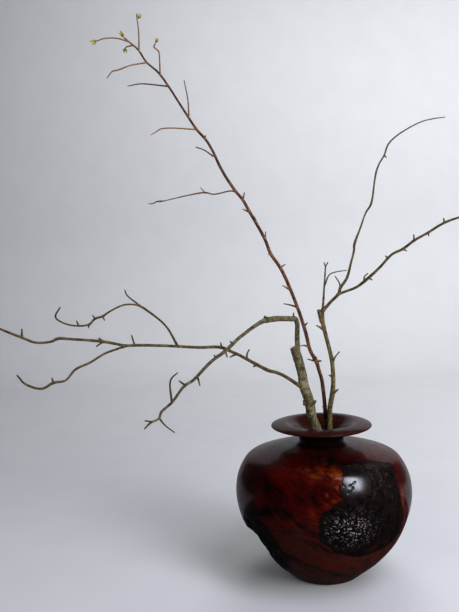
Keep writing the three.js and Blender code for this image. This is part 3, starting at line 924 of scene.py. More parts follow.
@dataclass(frozen=True)
class Branch:
    """A branch: limbs that are a piece each, then all its twigs, spurs and buds.

    The barks are the old wood's and the young wood's, and twig is the pattern for its twigs.
    """

    node: str
    slot: str
    side: str
    barks: tuple[BarkFinish, BarkFinish]
    limbs: tuple[Limb, ...]
    twig: Limb
    twigs: tuple[Route, ...]
    spurs: Spurs
    spur_age: Age = Age.YOUNG

    def swellings(self, limb: Limb) -> Array:
        """Where a limb swells: at each spur."""
        return self.spurs.knots()

    def build(self) -> None:
        """Makes the limbs, twigs, spurs and buds."""
        looks = {age: bark.material() for age, bark in zip(Age, self.barks)}
        pieces = [
            (limb.name, limb.skin(self.swellings(limb)), looks[limb.age]) for limb in self.limbs
        ]
        twigs = [
            replace(self.twig, route=route, seed=self.twig.seed + 0.1 * index)
            for index, route in enumerate(self.twigs)
        ]
        pieces += [
            ("twigs", Skin.joined([twig.skin(self.swellings(twig)) for twig in twigs]),
             looks[Age.YOUNG]),
            ("spurs", self.spurs.wood_skin(), looks[self.spur_age]),
            ("buds", self.spurs.bud_skin(), BudFinish().material()),
        ]
        for name, skin, look in pieces:
            skin.piece(f"{self.side}_{name}", look, self.slot, self.node)


@dataclass(frozen=True)
class LeftBranch(Branch):
    """Grey-green trunk, pruned, with a crooked upper branch and a long side limb."""

    node: str = "left_branch"
    slot: str = "olive_bark"
    side: str = "left"
    barks: tuple[BarkFinish, BarkFinish] = (OLIVE_BARK, OLIVE_TWIG_BARK)
    trunk: Limb = Limb((
        (26.8, -10, 14, 6.1), (9.8, -10, 99, 6.1), (-6, -10, 177, 6.1), (-12, -10, 195, 6),
        (-15, -10, 217, 5.9), (-20, -10, 232, 6), (-23, -10, 251, 5.5), (-30, -11, 278, 5.5),
        (-32, -11, 282, 4.6),
    ), "trunk", Age.OLD, 72, 0.8, 13, 0.055, 0.03, End.CUT, 1.1,
        rubbed=((-24, -10, 238, 7), (-22, -12, 233, 5)))
    crook: Limb = Limb((
        (-26, -10, 264, 3.2), (-27, -9, 290, 3), (-27, -11, 311, 2.9), (-29, -12, 316, 3.1),
        (-34, -15, 316.5, 3.2), (-50, -22, 318, 3.3), (-62, -28, 317.5, 3.5),
        (-66, -29, 317, 3.2), (-72, -33, 315, 2.5), (-96, -43, 300, 2), (-114, -50, 285, 2.1),
        (-125, -53, 278, 1.9), (-134, -56, 271, 1.9), (-152, -61, 254, 1.7),
        (-161, -63, 249, 1.6), (-176, -67, 231, 1.5), (-188, -69, 221, 1.5),
        (-191, -70, 214, 1.3), (-200, -72, 210, 1.2), (-207, -74, 204, 0.9),
    ), "crook", Age.OLD, 32, ridges=7, ridge_height=0.04, seed=1.2)
    low_limb: Limb = Limb((
        (-22, -12, 232, 2.6), (-38, -16, 244, 2.1), (-47, -18, 250, 2), (-56, -19, 254, 2.1),
        (-63, -20, 256, 2.2), (-97, -24, 276, 1.8), (-105, -25, 280, 1.8),
        (-119, -29, 287, 1.9), (-143, -39, 289, 1.7), (-182, -61, 295, 1.6),
        (-212, -81, 299, 1.6), (-222, -89, 300, 1.5), (-243, -106, 307, 1.6),
        (-272, -135, 314, 1.4), (-281, -146, 316, 1.6), (-286, -152, 314, 1.3),
        (-297, -168, 315, 1.2), (-307, -186, 323, 1.3), (-318, -204, 332, 1.1),
        (-332, -226, 345, 0.8),
    ), "low_limb", Age.YOUNG, 26, ridges=5, ridge_height=0.03, seed=1.3)
    fork: Limb = Limb((
        (-219, -87, 300, 1.4), (-242, -106, 294, 1.2), (-255, -119, 287, 1.2),
        (-268, -132, 282, 1.3), (-276, -143, 273, 1.1), (-285, -157, 273, 1.4),
        (-293, -171, 270, 1.2), (-304, -188, 278, 1.1), (-308, -198, 288, 0.8),
    ), "fork", Age.YOUNG, 20, seed=1.4)
    high_twig: Limb = Limb((
        (-168, -53, 293, 1.6), (-174, -58, 307, 1.3), (-178, -62, 315, 1.2),
        (-184, -67, 323, 1.2), (-203, -84, 341, 1.3), (-209, -89, 344, 1),
        (-220, -100, 345, 1), (-234, -113, 339, 1), (-240, -118, 335, 1.2),
        (-247, -125, 333, 1.2), (-252, -131, 328, 1.1), (-266, -148, 329, 0.9),
        (-276, -163, 336, 0.9), (-277, -168, 340, 0.9), (-270, -177, 349, 0.7),
    ), "high_twig", Age.YOUNG, 20, seed=1.5)
    limbs: tuple[Limb, ...] = (trunk, crook, low_limb, fork, high_twig)
    twig: Limb = Limb(columns=16, spacing=0.8, seed=1.6)
    twigs: tuple[Route, ...] = (
        ((-202, -83, 340, 1.1), (-220, -78, 355, 0.8), (-222, -76, 360, 0.6)),
        (
            (-176, -67, 231, 1.4), (-176, -78, 256, 1), (-173, -81, 262, 0.9),
            (-167, -83, 267, 0.7),
        ),
        ((-191, -70, 215, 1.2), (-185, -65, 205, 0.9), (-175, -60, 195, 0.7)),
        ((-199, -72, 211, 1.1), (-207, -66, 211, 0.8)),
    )
    spurs: Spurs = Spurs((
        ((-22, -10, 214, 4), (-10.5, -13, 214, 3.2), (-7.5, -13.5, 216, 1.2)),
        ((-31, -14, 316, 1.6), (-31, -14, 322.5, 0.7)),
        ((-64, -29, 317, 2.6), (-66, -29, 321, 1.6)),
        ((-105, -47, 293, 1.5), (-107.5, -48, 295.5, 0.9)),
        ((-114, -50, 285, 1.5), (-112, -52, 279, 0.7)),
        ((-125, -53, 278, 1.4), (-126.5, -54, 281, 0.9)),
        ((-146, -60, 257, 1.4), (-144, -62, 249, 0.7)),
        ((-160, -63, 249, 1.5), (-167, -56, 253, 0.8)),
        ((-76, -22, 264, 1.6), (-80.5, -21, 262, 0.9)),
        ((-89, -23, 272, 1.6), (-88, -23, 278, 1), (-86, -24, 282, 0.8)),
        ((-101, -25, 278, 1.5), (-108, -20, 274, 0.7)),
        ((-118, -29, 286, 1.5), (-119, -29, 292, 0.7)),
        ((-213, -82, 299, 1.3), (-216, -79, 309, 0.7)),
        ((-243, -106, 307, 1.4), (-249, -109, 303, 0.7)),
        ((-243, -106, 307, 1.4), (-246, -111, 311, 0.8)),
        ((-285, -157, 273, 1.2), (-286, -158, 277.5, 0.7)),
        ((-306, -184, 322, 1.3), (-304, -189, 330, 0.7)),
        ((-246.5, -125, 333, 1.2), (-249, -124, 336, 0.7)),
        ((-240, -118, 335, 1.1), (-239, -117, 331.5, 0.6)),
        ((-252, -131, 328, 1.1), (-253, -130, 325, 0.6)),
        ((-261, -141, 328.5, 1), (-262, -142, 332, 0.6)),
    ))

    def swellings(self, limb: Limb) -> Array:
        """Where a limb swells: the trunk at its two forks, and the others at each spur."""
        if limb.name == "trunk":
            return np.array([[*fork.route[0][:3], 0.8] for fork in (self.low_limb, self.crook)])
        return self.spurs.knots()


@dataclass(frozen=True)
class MiddleShoot(Branch):
    """Tall red-brown shoot with fine side twigs."""

    node: str = "middle_shoot"
    slot: str = "red_bark"
    side: str = "middle"
    barks: tuple[BarkFinish, BarkFinish] = (RED_BARK, TAN_TWIG_BARK)
    shoot: Limb = Limb((
        (10, 14, 12.9, 2.7), (8.5, 13, 96, 2.7), (7, 12, 178, 2.6), (7, 12, 202, 2.5),
        (4, 13, 237, 2.3), (1, 14, 249, 2.2), (-2, 15, 260, 2.5), (-9, 16, 274, 2.2),
        (-13, 18, 293, 2.3), (-18, 19, 312, 2.2), (-26, 21, 337, 2.1), (-41, 24, 375, 2.2),
        (-54, 26, 396, 2.1), (-60, 27, 413, 2), (-79, 28, 450, 2), (-86, 28, 463, 1.9),
        (-96, 28, 476, 1.9), (-111, 28, 501, 1.8), (-122, 28, 526, 1.6), (-129, 27, 538, 1.7),
        (-140, 27, 551, 1.6), (-155, 26, 575, 1.4), (-183, 22, 619, 1.3), (-198, 20, 633, 1.2),
        (-207, 18, 647, 1.1), (-223, 15, 661, 0.8),
    ), "stem", Age.OLD, 28, 0.8, lumps=0.03, seed=3.1)
    limbs: tuple[Limb, ...] = (shoot,)
    twig: Limb = Limb(columns=14, spacing=0.7, lumps=0.05, seed=3.2)
    twigs: tuple[Route, ...] = (
        (
            (-217, 16, 656, 0.9), (-229, 8, 658, 0.8), (-238, 2, 657, 0.8),
            (-245, -3, 655, 0.8), (-252, -7, 651.5, 0.8),
        ),
        ((-213, 17, 652, 0.9), (-220, 22, 652.5, 0.8), (-223, 25, 652.3, 0.7)),
        ((-206, 18, 646, 1), (-206, 23, 669, 0.8), (-208, 29, 688, 0.7), (-208.5, 31, 694, 0.6)),
        (
            (-197, 20, 632, 1), (-215, 4, 625, 0.8), (-229, -10, 616, 1),
            (-234, -14, 614, 0.8), (-240, -20, 605, 0.6),
        ),
        (
            (-182, 22, 618, 1), (-181, 12, 630, 0.8), (-181, 5, 640, 0.8), (-186, 1, 645, 0.8),
            (-184, -1, 648, 0.7),
        ),
        ((-174, 24, 604, 1), (-209, 44, 613, 0.8), (-226, 53, 613, 0.6)),
        ((-149, 26, 568, 1), (-149, 16, 585, 0.8), (-152, 5, 605, 0.6)),
        (
            (-140, 27, 551, 1), (-171, 6, 550, 0.8), (-182, -1, 548, 0.8),
            (-186, -4, 545, 0.8), (-193, -9, 540, 0.6),
        ),
        ((-121, 28, 518, 1), (-132, 35, 527, 0.8), (-142, 41, 532, 0.9)),
        (
            (-95, 28, 474, 1.1), (-102, 32, 475, 0.9), (-122, 45, 473, 0.9),
            (-133, 51, 476, 1), (-160, 66, 474, 0.8), (-190, 83, 470, 0.8),
            (-194, 85, 470, 1.3), (-199, 88, 470, 0.9), (-204, 91, 468, 0.8),
            (-210, 94, 468, 0.6),
        ),
        ((-133, 51, 475.5, 0.9), (-139, 54, 483, 0.5)),
    )
    spurs: Spurs = Spurs((
        ((-131, 24.5, 539, 1.4), (-129.5, 23, 542, 0.9)),
        ((-86, 27, 464, 1.5), (-84, 26, 471, 0.7)),
        ((-80, 28, 449, 1.6), (-86, 23, 451, 0.6)),
        ((-71, 26, 437, 1.6), (-73, 24, 442, 0.7)),
        ((-60, 27, 415, 1.5), (-59, 27, 422, 0.6)),
        ((-53, 26, 394, 1.7), (-56, 24, 394.5, 0.9)),
        ((-41, 24, 376, 1.6), (-40, 23, 379, 1.1), (-37, 22, 381, 0.6)),
        ((-33, 22, 351, 1.6), (-40, 18, 355, 0.6)),
        ((-23, 20, 328, 1.6), (-33, 26, 331, 0.9), (-38, 29, 332, 0.6)),
        ((-15, 19, 304, 1.6), (-12, 15, 308, 0.8)),
        ((-10, 17, 278, 1.6), (-17, 11, 281, 1), (-21, 8, 281, 0.6)),
        ((-5, 16, 261, 1.6), (-7, 19, 261, 1), (-11, 22, 262, 0.7)),
        ((-2, 15, 260, 2.4), (3, 10, 261, 0.8)),
        ((-3, 15, 262, 2.4), (-3, 11, 265.5, 1.2)),
        ((5, 13, 227, 2.4), (5, 9.8, 230, 1.3)),
        ((7, 12, 202, 2.4), (4.5, 11, 203.5, 1)),
    ))

    def swellings(self, limb: Limb) -> Array:
        """Where a limb swells: at each spur and where each twig leaves."""
        roots = np.array([[*route[0][:3], 0.7] for route in self.twigs])
        return np.vstack([self.spurs.knots(), roots])


@dataclass(frozen=True)
class RightBranch(Branch):
    """Grey branch with a pruned stub and two spreading limbs."""

    node: str = "right_branch"
    slot: str = "grey_bark"
    side: str = "right"
    barks: tuple[BarkFinish, BarkFinish] = (GREY_BARK, OLIVE_TWIG_BARK)
    branch: Limb = Limb((
        (-2, 2, 13.1, 3.4), (4.5, 3, 96, 3.4), (11, 4, 178, 3.3), (12, 4, 202, 3.2),
        (16, 4, 224, 3), (17, 4, 238, 2.6), (16, 5, 262, 2.5), (8, 6, 300, 2.5),
        (6, 7, 312, 2.8), (6, 7, 322, 2.7), (8, 7, 327, 2),
    ), "stem", Age.OLD, 36, 0.8, 9, 0.04, seed=5.1)
    stub: Limb = Limb((
        (5, 7, 309, 2.4), (2.5, 5, 319, 2.1), (1, 4, 325, 2),
    ), "stub", Age.OLD, 28, 0.6, end=End.CUT, seed=5.2)
    high_limb: Limb = Limb((
        (7, 7, 323, 2.3), (16, 7, 333, 1.9), (27, 6, 344, 2), (29, 8, 350, 1.9),
        (38, 12, 362, 1.7), (45, 19, 381, 1.4), (50, 25, 396, 1.4), (51, 27, 403, 1.7),
        (60, 34, 423, 1.2), (69, 41, 443, 1.1), (75, 44, 451, 1.4), (78, 46, 458, 1.3),
        (84, 55, 485, 1.1), (87, 58, 496, 1.3), (92, 61, 507, 1.1), (99, 65, 517, 1.1),
        (105, 68, 531, 1.1), (118, 73, 543, 1), (151, 84, 561, 0.8), (169, 90, 566, 0.8),
        (188, 96, 569, 0.6),
    ), "high_limb", Age.YOUNG, 22, seed=5.3)
    low_limb: Limb = Limb((
        (24, 6, 342, 1.9), (34, 3, 346, 1.6), (46, -5, 351, 1.6), (57, -13, 360, 1.9),
        (71, -22, 374, 1.6), (84, -31, 389, 1.5), (95, -39, 395, 1.6), (106, -47, 404, 1.5),
        (119, -57, 412, 1.4), (134, -69, 422, 1.4), (156, -88, 429, 0.9), (165, -96, 429, 0.7),
    ), "low_limb", Age.OLD, 22, seed=5.4)
    limbs: tuple[Limb, ...] = (branch, stub, high_limb, low_limb)
    twig: Limb = Limb(columns=14, spacing=0.7, seed=5.5)
    twigs: tuple[Route, ...] = (
        ((7, 7, 326, 1.6), (10, 12, 352, 1.1), (13, 17, 378, 0.9)),
        ((13, 17, 377, 0.9), (11, 16, 382, 0.7)),
        ((13, 17, 377, 0.9), (16, 18, 382, 0.7)),
        ((11, 14, 354, 1), (16, 7, 367, 0.8), (22, 2, 370, 0.7), (35, -6, 372, 0.5)),
        ((29, 8, 350, 1.2), (28, 6, 356, 0.9), (22, 0, 365, 0.7)),
    )
    spurs: Spurs = Spurs((
        ((16.5, 5, 260, 2.2), (20, 1.5, 267, 1), (24, -3, 273, 0.7)),
        ((16.5, 3.5, 222, 2.6), (21.5, 0.5, 226, 0.9)),
        ((16.5, 4, 242, 2.2), (13, 4, 243.5, 0.9)),
        ((6, 6, 301, 2), (-2, 1, 306, 0.7)),
        ((55, -11, 358, 1.5), (55, -13, 364, 0.9), (58, -15, 367, 0.7)),
        ((60, -14, 362, 1.4), (63, -16, 360, 0.7)),
        ((80, -29, 385, 1.5), (77.5, -29, 387, 0.8)),
        ((95, -39, 395, 1.5), (98, -40, 393, 0.7)),
        ((106, -47, 404, 1.4), (105, -49, 409.5, 0.7)),
        ((119, -57, 412, 1.3), (120, -56, 409, 0.7)),
        ((134, -69, 422, 1.4), (133, -70, 426, 0.7)),
        ((99, 65, 517, 1.2), (101, 63, 514.5, 0.7)),
    ))
    spur_age: Age = Age.OLD


@dataclass(frozen=True)
class LeafBud:
    """Opening bud: young leaves spreading out of a ring of brown scales."""

    node: str
    seat: Place
    width: float
    tips: tuple[Place, ...]
    inner_length: float = 0.72

    def build(self, leaf_look: bpy.types.Material, scale_look: bpy.types.Material) -> None:
        """Makes the leaves, a long and a short one to each tip, and the scales round them."""
        seat, tips, width = np.array(self.seat), np.array(self.tips), self.width
        drift = 0.5 * width * np.array([0.4, -0.8, 0.3])
        leaves = []
        for index, tip in enumerate(tips):
            seed = 1.9 * index + width
            inner = seat + self.inner_length * (tip - seat) + drift
            leaves.append(Leaf(seat, tip, 1.25 * width, 0.5, seed).skin())
            leaves.append(Leaf(seat, inner, 0.8 * width, -0.4, seed + 2.4).skin())
        Skin.joined(leaves).piece(f"{self.node}_leaves", leaf_look, "leaf_green", self.node)
        aim = unit(np.mean(tips, axis=0) - seat)
        scales = Bud(seat, aim, 0.85 * width, 2.6 * width, width).skin()
        scales.piece(f"{self.node}_scales", scale_look, "leaf_green", self.node)


@dataclass(frozen=True)
class YoungLeaves:
    """All the opening leaf buds."""

    buds: tuple[LeafBud, ...] = (
        LeafBud(
            "leaf_bud_top", (-206.3, 28.7, 687.8), 1.5, ((-205.2, 29, 694.5), (-202.3, 27, 692))
        ),
        LeafBud(
            "leaf_bud_shoot_end", (-223.9, 14.8, 661.9), 1.5,
            ((-227.5, 14, 670), (-230, 12, 665.5), (-224, 15, 667)),
        ),
        LeafBud(
            "leaf_bud_low", (-223.9, 26, 651.9), 1.4, ((-225.8, 28.5, 646.5), (-222.3, 28, 645.5))
        ),
        LeafBud(
            "leaf_bud_right", (-183.4, -1.7, 648.8), 1.4,
            ((-179.5, -3, 653.5), (-183.5, -3.5, 654.5)),
        ),
        LeafBud(
            "leaf_bud_left", (-252.9, -7.4, 651.1), 1.5, ((-261, -10, 650), (-258.5, -9, 646.5))
        ),
    )

    def build(self) -> None:
        """Makes every leaf bud."""
        leaf_look, scale_look = LeafFinish().material(), BudFinish("leaf_bud_scales").material()
        for bud in self.buds:
            bud.build(leaf_look, scale_look)


# ------------------------------------------------------------------ vase


@dataclass(frozen=True)
class WallGrid:
    """Places on the turned wall: degrees round from the front, and heights."""

    around: Array
    heights: Array

    @cached_property
    def flat(self) -> Array:
        """The wall rolled out flat, in mm."""
        return stacked(self.around * MM_PER_DEGREE, self.heights, 0.0)

    @cached_property
    def ragged(self) -> Array:
        """How far a pocket's edge strays from its outline, in mm: lumps of two sizes."""
        return 1.1 * clouds(self.flat, 7.0, 5.0) + 0.5 * clouds(self.flat, 2.6, 6.0)

    def turned(self, radius: Array) -> Array:
        """The points of a surface at a radius from the vase's axis."""
        turn = np.radians(self.around)
        return stacked(radius * np.sin(turn), -radius * np.cos(turn), self.heights)

    def mark(
        self, around: float, height: float, half_width: float, half_height: float,
        tilt: float = 0.0, strength: float = 1.0,
    ) -> Array:
        """A soft oval mark: a bell curve of the distance from its middle, in its tilted axes."""
        x, z = (self.around - around) * MM_PER_DEGREE, self.heights - height
        lean = math.radians(tilt)
        u = (x * math.cos(lean) + z * math.sin(lean)) / half_width
        v = (-x * math.sin(lean) + z * math.cos(lean)) / half_height
        return strength * np.exp(-(u * u + v * v))

    def marks(self, rows: Marks) -> Array:
        """Several soft oval marks, added up."""
        return sum(self.mark(*row) for row in rows)

    def scratches(self, lines: Scratches, wobble: Array | float = 1.0) -> Array:
        """Open lines of given widths, times a wobble: a bell curve across each, added up."""
        return sum(
            np.exp(-((self.gap(line, closed=False) / (width * wobble)) ** 2))
            for line, width in lines
        )

    def gap(self, outline: Outline, closed: bool = True) -> Array:
        """Distance to a line drawn on the wall, in mm.

        Args:
            outline: points of (degrees round, height).
            closed: whether the line closes on itself; then the distance is negative outside.

        Returns:
            The shortest distance to any stretch, with the sign of an even-odd test.
        """
        line = np.array(outline, dtype=float) * (MM_PER_DEGREE, 1.0)
        starts, ends = (line, np.roll(line, -1, axis=0)) if closed else (line[:-1], line[1:])
        x, z = self.around * MM_PER_DEGREE, self.heights
        nearest = np.full(x.shape, np.inf)
        inside = np.zeros(x.shape, dtype=bool)
        for (ax, low), (bx, high) in zip(starts, ends):
            dx, dz = bx - ax, high - low
            share = np.clip(((x - ax) * dx + (z - low) * dz) / (dx * dx + dz * dz), 0, 1)
            nearest = np.minimum(nearest, np.hypot(x - ax - share * dx, z - low - share * dz))
            crosses = (low > z) != (high > z)
            edge = ax + dx * (z - low) / (dz if dz else 1.0)
            inside ^= crosses & (x < edge)
        return np.where(inside, nearest, -nearest) if closed else nearest


@dataclass(frozen=True)
class BurlVase:
    """Turned burl-wood vase with natural bark pockets in its wall."""

    node: str = "vase"
    slot: str = "burl"
    foot: Outline = ((0, 1.2), (20, 1.2), (29, 1.2), (30.5, 0.9), (31.5, 0.1), (33, 0), (37, 0))
    body: Outline = (
        (38.5, 0), (42.3, 1.4), (52.4, 9.8), (70.8, 25.9), (89.1, 48.3), (101.2, 74.8),
        (106.7, 99.2), (105.2, 121), (99.2, 136.3), (91.4, 146.7), (78, 152.1), (55, 158.2),
        (40, 160.1), (33, 161),
    )
    neck: Outline = (
        (31.3, 161.3), (31, 162), (30, 162.8), (28.7, 163.5), (27.6, 164.8), (27.2, 168),
        (28.2, 172), (32, 174.1), (40, 176.2), (52, 180.2), (58.8, 182.3),
    )
    lip: Outline = (
        (60.3, 183), (61.2, 183.8), (61, 184.5), (58, 185.9), (51, 187.6), (45, 188.1),
        (40.5, 187.4), (34, 184.7), (28, 181), (22, 176), (18.6, 173), (17.6, 171), (17.5, 168),
    )
    hollow: Outline = (
        (18, 161), (30, 153), (72, 144), (92, 125), (96, 99.7), (89.5, 74), (76, 50), (57, 29),
        (36, 14.5), (26, 12.5),
    )
    right_pocket: Outline = (
        (-8.5, 107), (-9.5, 97), (-10.1, 89.4), (-9.6, 83), (-8.4, 77.8), (-4.5, 71.4),
        (1.6, 63.3), (9.1, 58.1), (18, 54), (22.4, 55), (33, 57.2), (43.5, 60.2), (50.5, 66.3),
        (52.4, 77), (50.4, 91.5), (49.3, 99.8), (46.6, 109.6), (46.7, 117.6), (47.8, 127.2),
        (48.7, 136.8), (52, 143.7), (53.4, 148), (43.6, 151.1), (35.8, 152.7), (27.5, 153.4),
        (12.7, 154.2), (9.5, 151.6), (7.6, 148), (14, 146), (21, 144), (21, 134), (18, 125),
        (12, 122), (4, 122), (0.2, 120.3), (-2.9, 115.3), (-7.1, 110.8),
    )
    lobe: Outline = (
        (7.9, 149), (7, 146.4), (5.6, 142), (3.4, 138), (2.6, 134), (4.4, 129.9), (4.6, 124.5),
        (3, 119), (9.7, 118), (15.1, 119.5), (20.5, 124), (24, 131), (26, 137.6), (26, 143.5),
        (23, 148), (17, 149.6), (12, 149.8),
    )
    left_pocket: Outline = (
        (-69, 88), (-59.5, 89), (-54.5, 87), (-48.5, 85), (-45.5, 75.5), (-41.5, 68.5),
        (-38.5, 56.5), (-37, 46), (-40, 34), (-50, 24), (-70, 15), (-96, 15), (-114, 24),
        (-121, 40), (-116, 56), (-104, 66), (-90, 70), (-77, 76),
    )
    right_depth: float = 4.0
    lobe_depth: float = 3.0
    left_rim: float = 2.6
    left_depth: float = 7.0
    brown_below: Span = (60, 118)  # heights between which the brown wood ends,
    brown_above: Span = (156, 164)  # and begins again
    dish: Span = (175, 181)  # heights between which the lip's dish begins
    # how much darker the lip and its dish are painted all round
    dish_soot: float = 0.3
    flames: Marks = (
        (0, 149, 17, 6, -12, 1.0),
        (-17, 148, 18, 5, -10, 0.35),
        (3, 139, 6, 9, 0, 0.4),
        (-5, 130.4, 1.5, 2.2, 20, 0.8),
        (-1, 123.4, 5, 1.8, 14, 0.5),
        (-5, 118, 4, 4, 40, 0.35),
        (-13, 108, 6, 8, 10, 0.25),
        (-11, 100, 2.6, 12, 5, 0.4),
        (-21, 90, 9, 3, -40, 0.35),
        (50.5, 118, 2.6, 17, -3, 0.8),
        (55, 86, 2.4, 14, 0, 0.35),
        (38, 51, 16, 3, 14, 0.35),
        (150, 120, 40, 18, 15, 0.6),
        (220, 110, 30, 14, -20, 0.4),
    )
    # dark marks of the wood itself, with painted shade among them
    dark_marks_and_shade: Marks = (
        # painted shadow of the lip and neck on the shoulder in front
        (0, 155.5, 58, 7.0, 0, 0.95),
        # dark spots of the wood itself
        (-57, 104.5, 4, 5, 10, 1.2),
        (-44, 107, 7, 4, 15, 1.1),
        (-35, 111, 8, 4.4, -10, 1.2),
        # these four: painted shade down the left side, away from the lights, over the wood's own
        # dark blotches
        (-50, 104, 18, 9, 0, 0.45),
        (-62, 130, 20, 26, 0, 0.6),
        (-70, 112, 10, 22, 0, 0.4),
        (-62, 96, 14, 8, 0, 0.6),
        # dark marks and a knot of the wood itself
        (-12, 42, 5, 1.4, -20, 0.6),
        (-25, 48.5, 5, 1.6, -30, 0.4),
        (-66, 148, 2, 4, 40, 0.6),
    )
    veins: Scratches = (
        (((-31, 109), (-28.6, 106.8), (-24.2, 101.7), (-21.1, 96.3), (-18.2, 90.7),
          (-13.5, 88.2), (-8.9, 85.3)), 2.3),
        (((-9, 83), (-14, 84), (-20, 88)), 0.8),
        (((-58, 100), (-50, 98), (-44, 104), (-36, 109)), 1.6),
        (((-4, 118), (-8, 121), (-14, 122)), 0.9),
    )

    def skin(self) -> Skin:
        """The wall as one closed surface of revolution, sunk in its bark pockets.

        The outline runs from the middle of the foot up the outside, over the lip and down to
        the middle of the floor inside. Radius and height follow it, and the pockets take their
        depth off the radius.
        """
        stretches = (  # outline, spacing, whether the pockets reach it, and how much painted shade it gets
            (self.foot, 4.0, False, 0.0), (self.body, 1.45, True, 0.0),
            # the neck gets painted shade from the lip above it
            (self.neck, 1.2, False, 0.92), (self.lip, 1.1, False, 0.0),
            (self.hollow, 8.0, False, 0.0),
        )
        lines = [curve_through(line, spacing) for line, spacing, _, _ in stretches]
        outline, counts = np.vstack(lines), [len(line) for line in lines]
        carved = np.repeat([row[2] for row in stretches], counts)[:, None]
        shaded = np.repeat([row[3] for row in stretches], counts)[:, None]
        grid = WallGrid(*np.meshgrid(self.columns(), outline[:, 1]))
        right = grid.gap(self.right_pocket) + grid.ragged
        left = grid.gap(self.left_pocket) + 1.6 * grid.ragged
        sunk = np.maximum(
            self.right_depth * eased(right, 0.0, 1.4),
            self.lobe_depth * eased(grid.gap(self.lobe), 0.6, 2.4),
        )
        sunk = sunk + self.left_level(left) + self.left_rim * eased(left, 0.0, 2.5)
        paint = self.painted(grid, carved, right, left)
        # painted shade under the lip fades out up the flare, where the lip's all-round darkening
        # takes over
        dish = eased(grid.heights, *self.dish)
        shaded = shaded * (1.0 - dish) + self.dish_soot * dish
        paint["soot"] = np.maximum(paint["soot"], shaded)
        return Skin.round_body(grid.turned(outline[:, :1] - np.where(carved, sunk, 0.0)), paint)

    def left_level(self, gap: Array) -> Array:
        """How deep the left pocket's bark lies, in mm: an S-curve of the way in from its edge."""
        return self.left_depth * eased(gap, 0.0, 20.0)

    @staticmethod
    def columns() -> Array:
        """Directions of the wall's columns in degrees, closer together across the pockets."""
        left_pocket, between = (-124, -34, 0.9), (-34, -12, 1.2)
        right_pocket, back = (-12, 58, 0.6), (58, 236, 2.7)
        stretches = (left_pocket, between, right_pocket, back)
        return np.concatenate([np.arange(*stretch) for stretch in stretches])

    def painted(self, grid: WallGrid, carved: Array, right: Array, left: Array) -> dict[str, Array]:
        """Figure, dark marks and painted shade of the wood.

        Args:
            grid: where each point is on the wall.
            carved: which rows belong to the wall's outside.
            right, left: how far inside each pocket a point is.

        Returns:
            Shares of flame figure, brown wood, and near-black wood with painted shade.
        """
        wobble = 1.0 + 0.5 * clouds(grid.flat, 6.0, 9.0)
        # the wood's own dark marks and veins, with painted shade under the lip and down the left
        # side
        soot = grid.marks(self.dark_marks_and_shade) + grid.scratches(self.veins, wobble)
        fringe = np.exp(-((right / 1.6) ** 2)) * 0.8 + np.exp(-((left / 6.0) ** 2))
        soot = np.clip(soot * (0.8 + 0.5 * clouds(grid.flat, 4.0, 11.0)) + fringe, 0, 1)
        high = eased(grid.heights, *self.brown_above)
        brown = np.maximum(1.0 - eased(grid.heights, *self.brown_below), high)
        brown = np.clip(brown + 0.25 * clouds(grid.flat, 30.0, 12.0), 0, 1)
        return {
            "figure": np.clip(grid.marks(self.flames), 0, 1) * carved,
            "soot": soot * carved,
            "brown": np.where(carved, brown, 0.8),
        }

    def build(self) -> None:
        """Makes the vase and the bark in its pockets."""
        self.skin().piece("vase_wood", BurlFinish().material(), self.slot, self.node)
        rough, smooth = InclusionFinish().material(), LobeFinish().material()
        for made in (RightInclusion(self), LeftInclusion(self), PolishedLobe(self)):
            look = smooth if isinstance(made, PolishedLobe) else rough
            made.skin().piece(made.name, look, self.slot, self.node)

    def wall_radius(self, heights: Array) -> Array:
        """The turned wall's radius at each height, before any pocket."""
        line = curve_through(self.body, 1.0)
        return np.interp(heights, line[:, 1], line[:, 0])


@dataclass(frozen=True)
class Inclusion:
    """Bark grown into the wall: a closed slab that reaches past its pocket's outline.

    Its around (degrees) and height (mm) say where it starts and ends, and step how fine its
    grid is.
    """

    vase: BurlVase
    name: str
    around: Span
    height: Span
    step: Span
    thickness: float = 2.5
    least_cover: float = 6.5

    def depth(self, grid: WallGrid) -> Array:
        """How far the slab's face lies below the turned wall, in mm."""
        raise NotImplementedError

    def painted(self, grid: WallGrid) -> dict[str, Array]:
        """Shares of the finish's flecks and streaks on the slab's face."""
        raise NotImplementedError

    def skin(self) -> Skin:
        """A flattened ring of points at each height: out over the face and back inside the wood.

        The face follows the wall's radius less the depth. The back follows the face a
        thickness further in, and lies no less than least_cover below the turned wall.
        """
        degrees = np.arange(*self.around, self.step[0])
        grid = WallGrid(*np.meshgrid(degrees, np.arange(*self.height, self.step[1])))
        wall = self.vase.wall_radius(grid.heights)
        face = wall - self.depth(grid)
        back = np.minimum(face - self.thickness, wall - self.least_cover)
        rings = np.concatenate([grid.turned(face), grid.turned(back)[:, ::-1]], axis=1)
        paint = {
            name: np.concatenate([values, values[:, ::-1]], axis=1)
            for name, values in self.painted(grid).items()
        }
        return Skin.round_body(rings, paint)


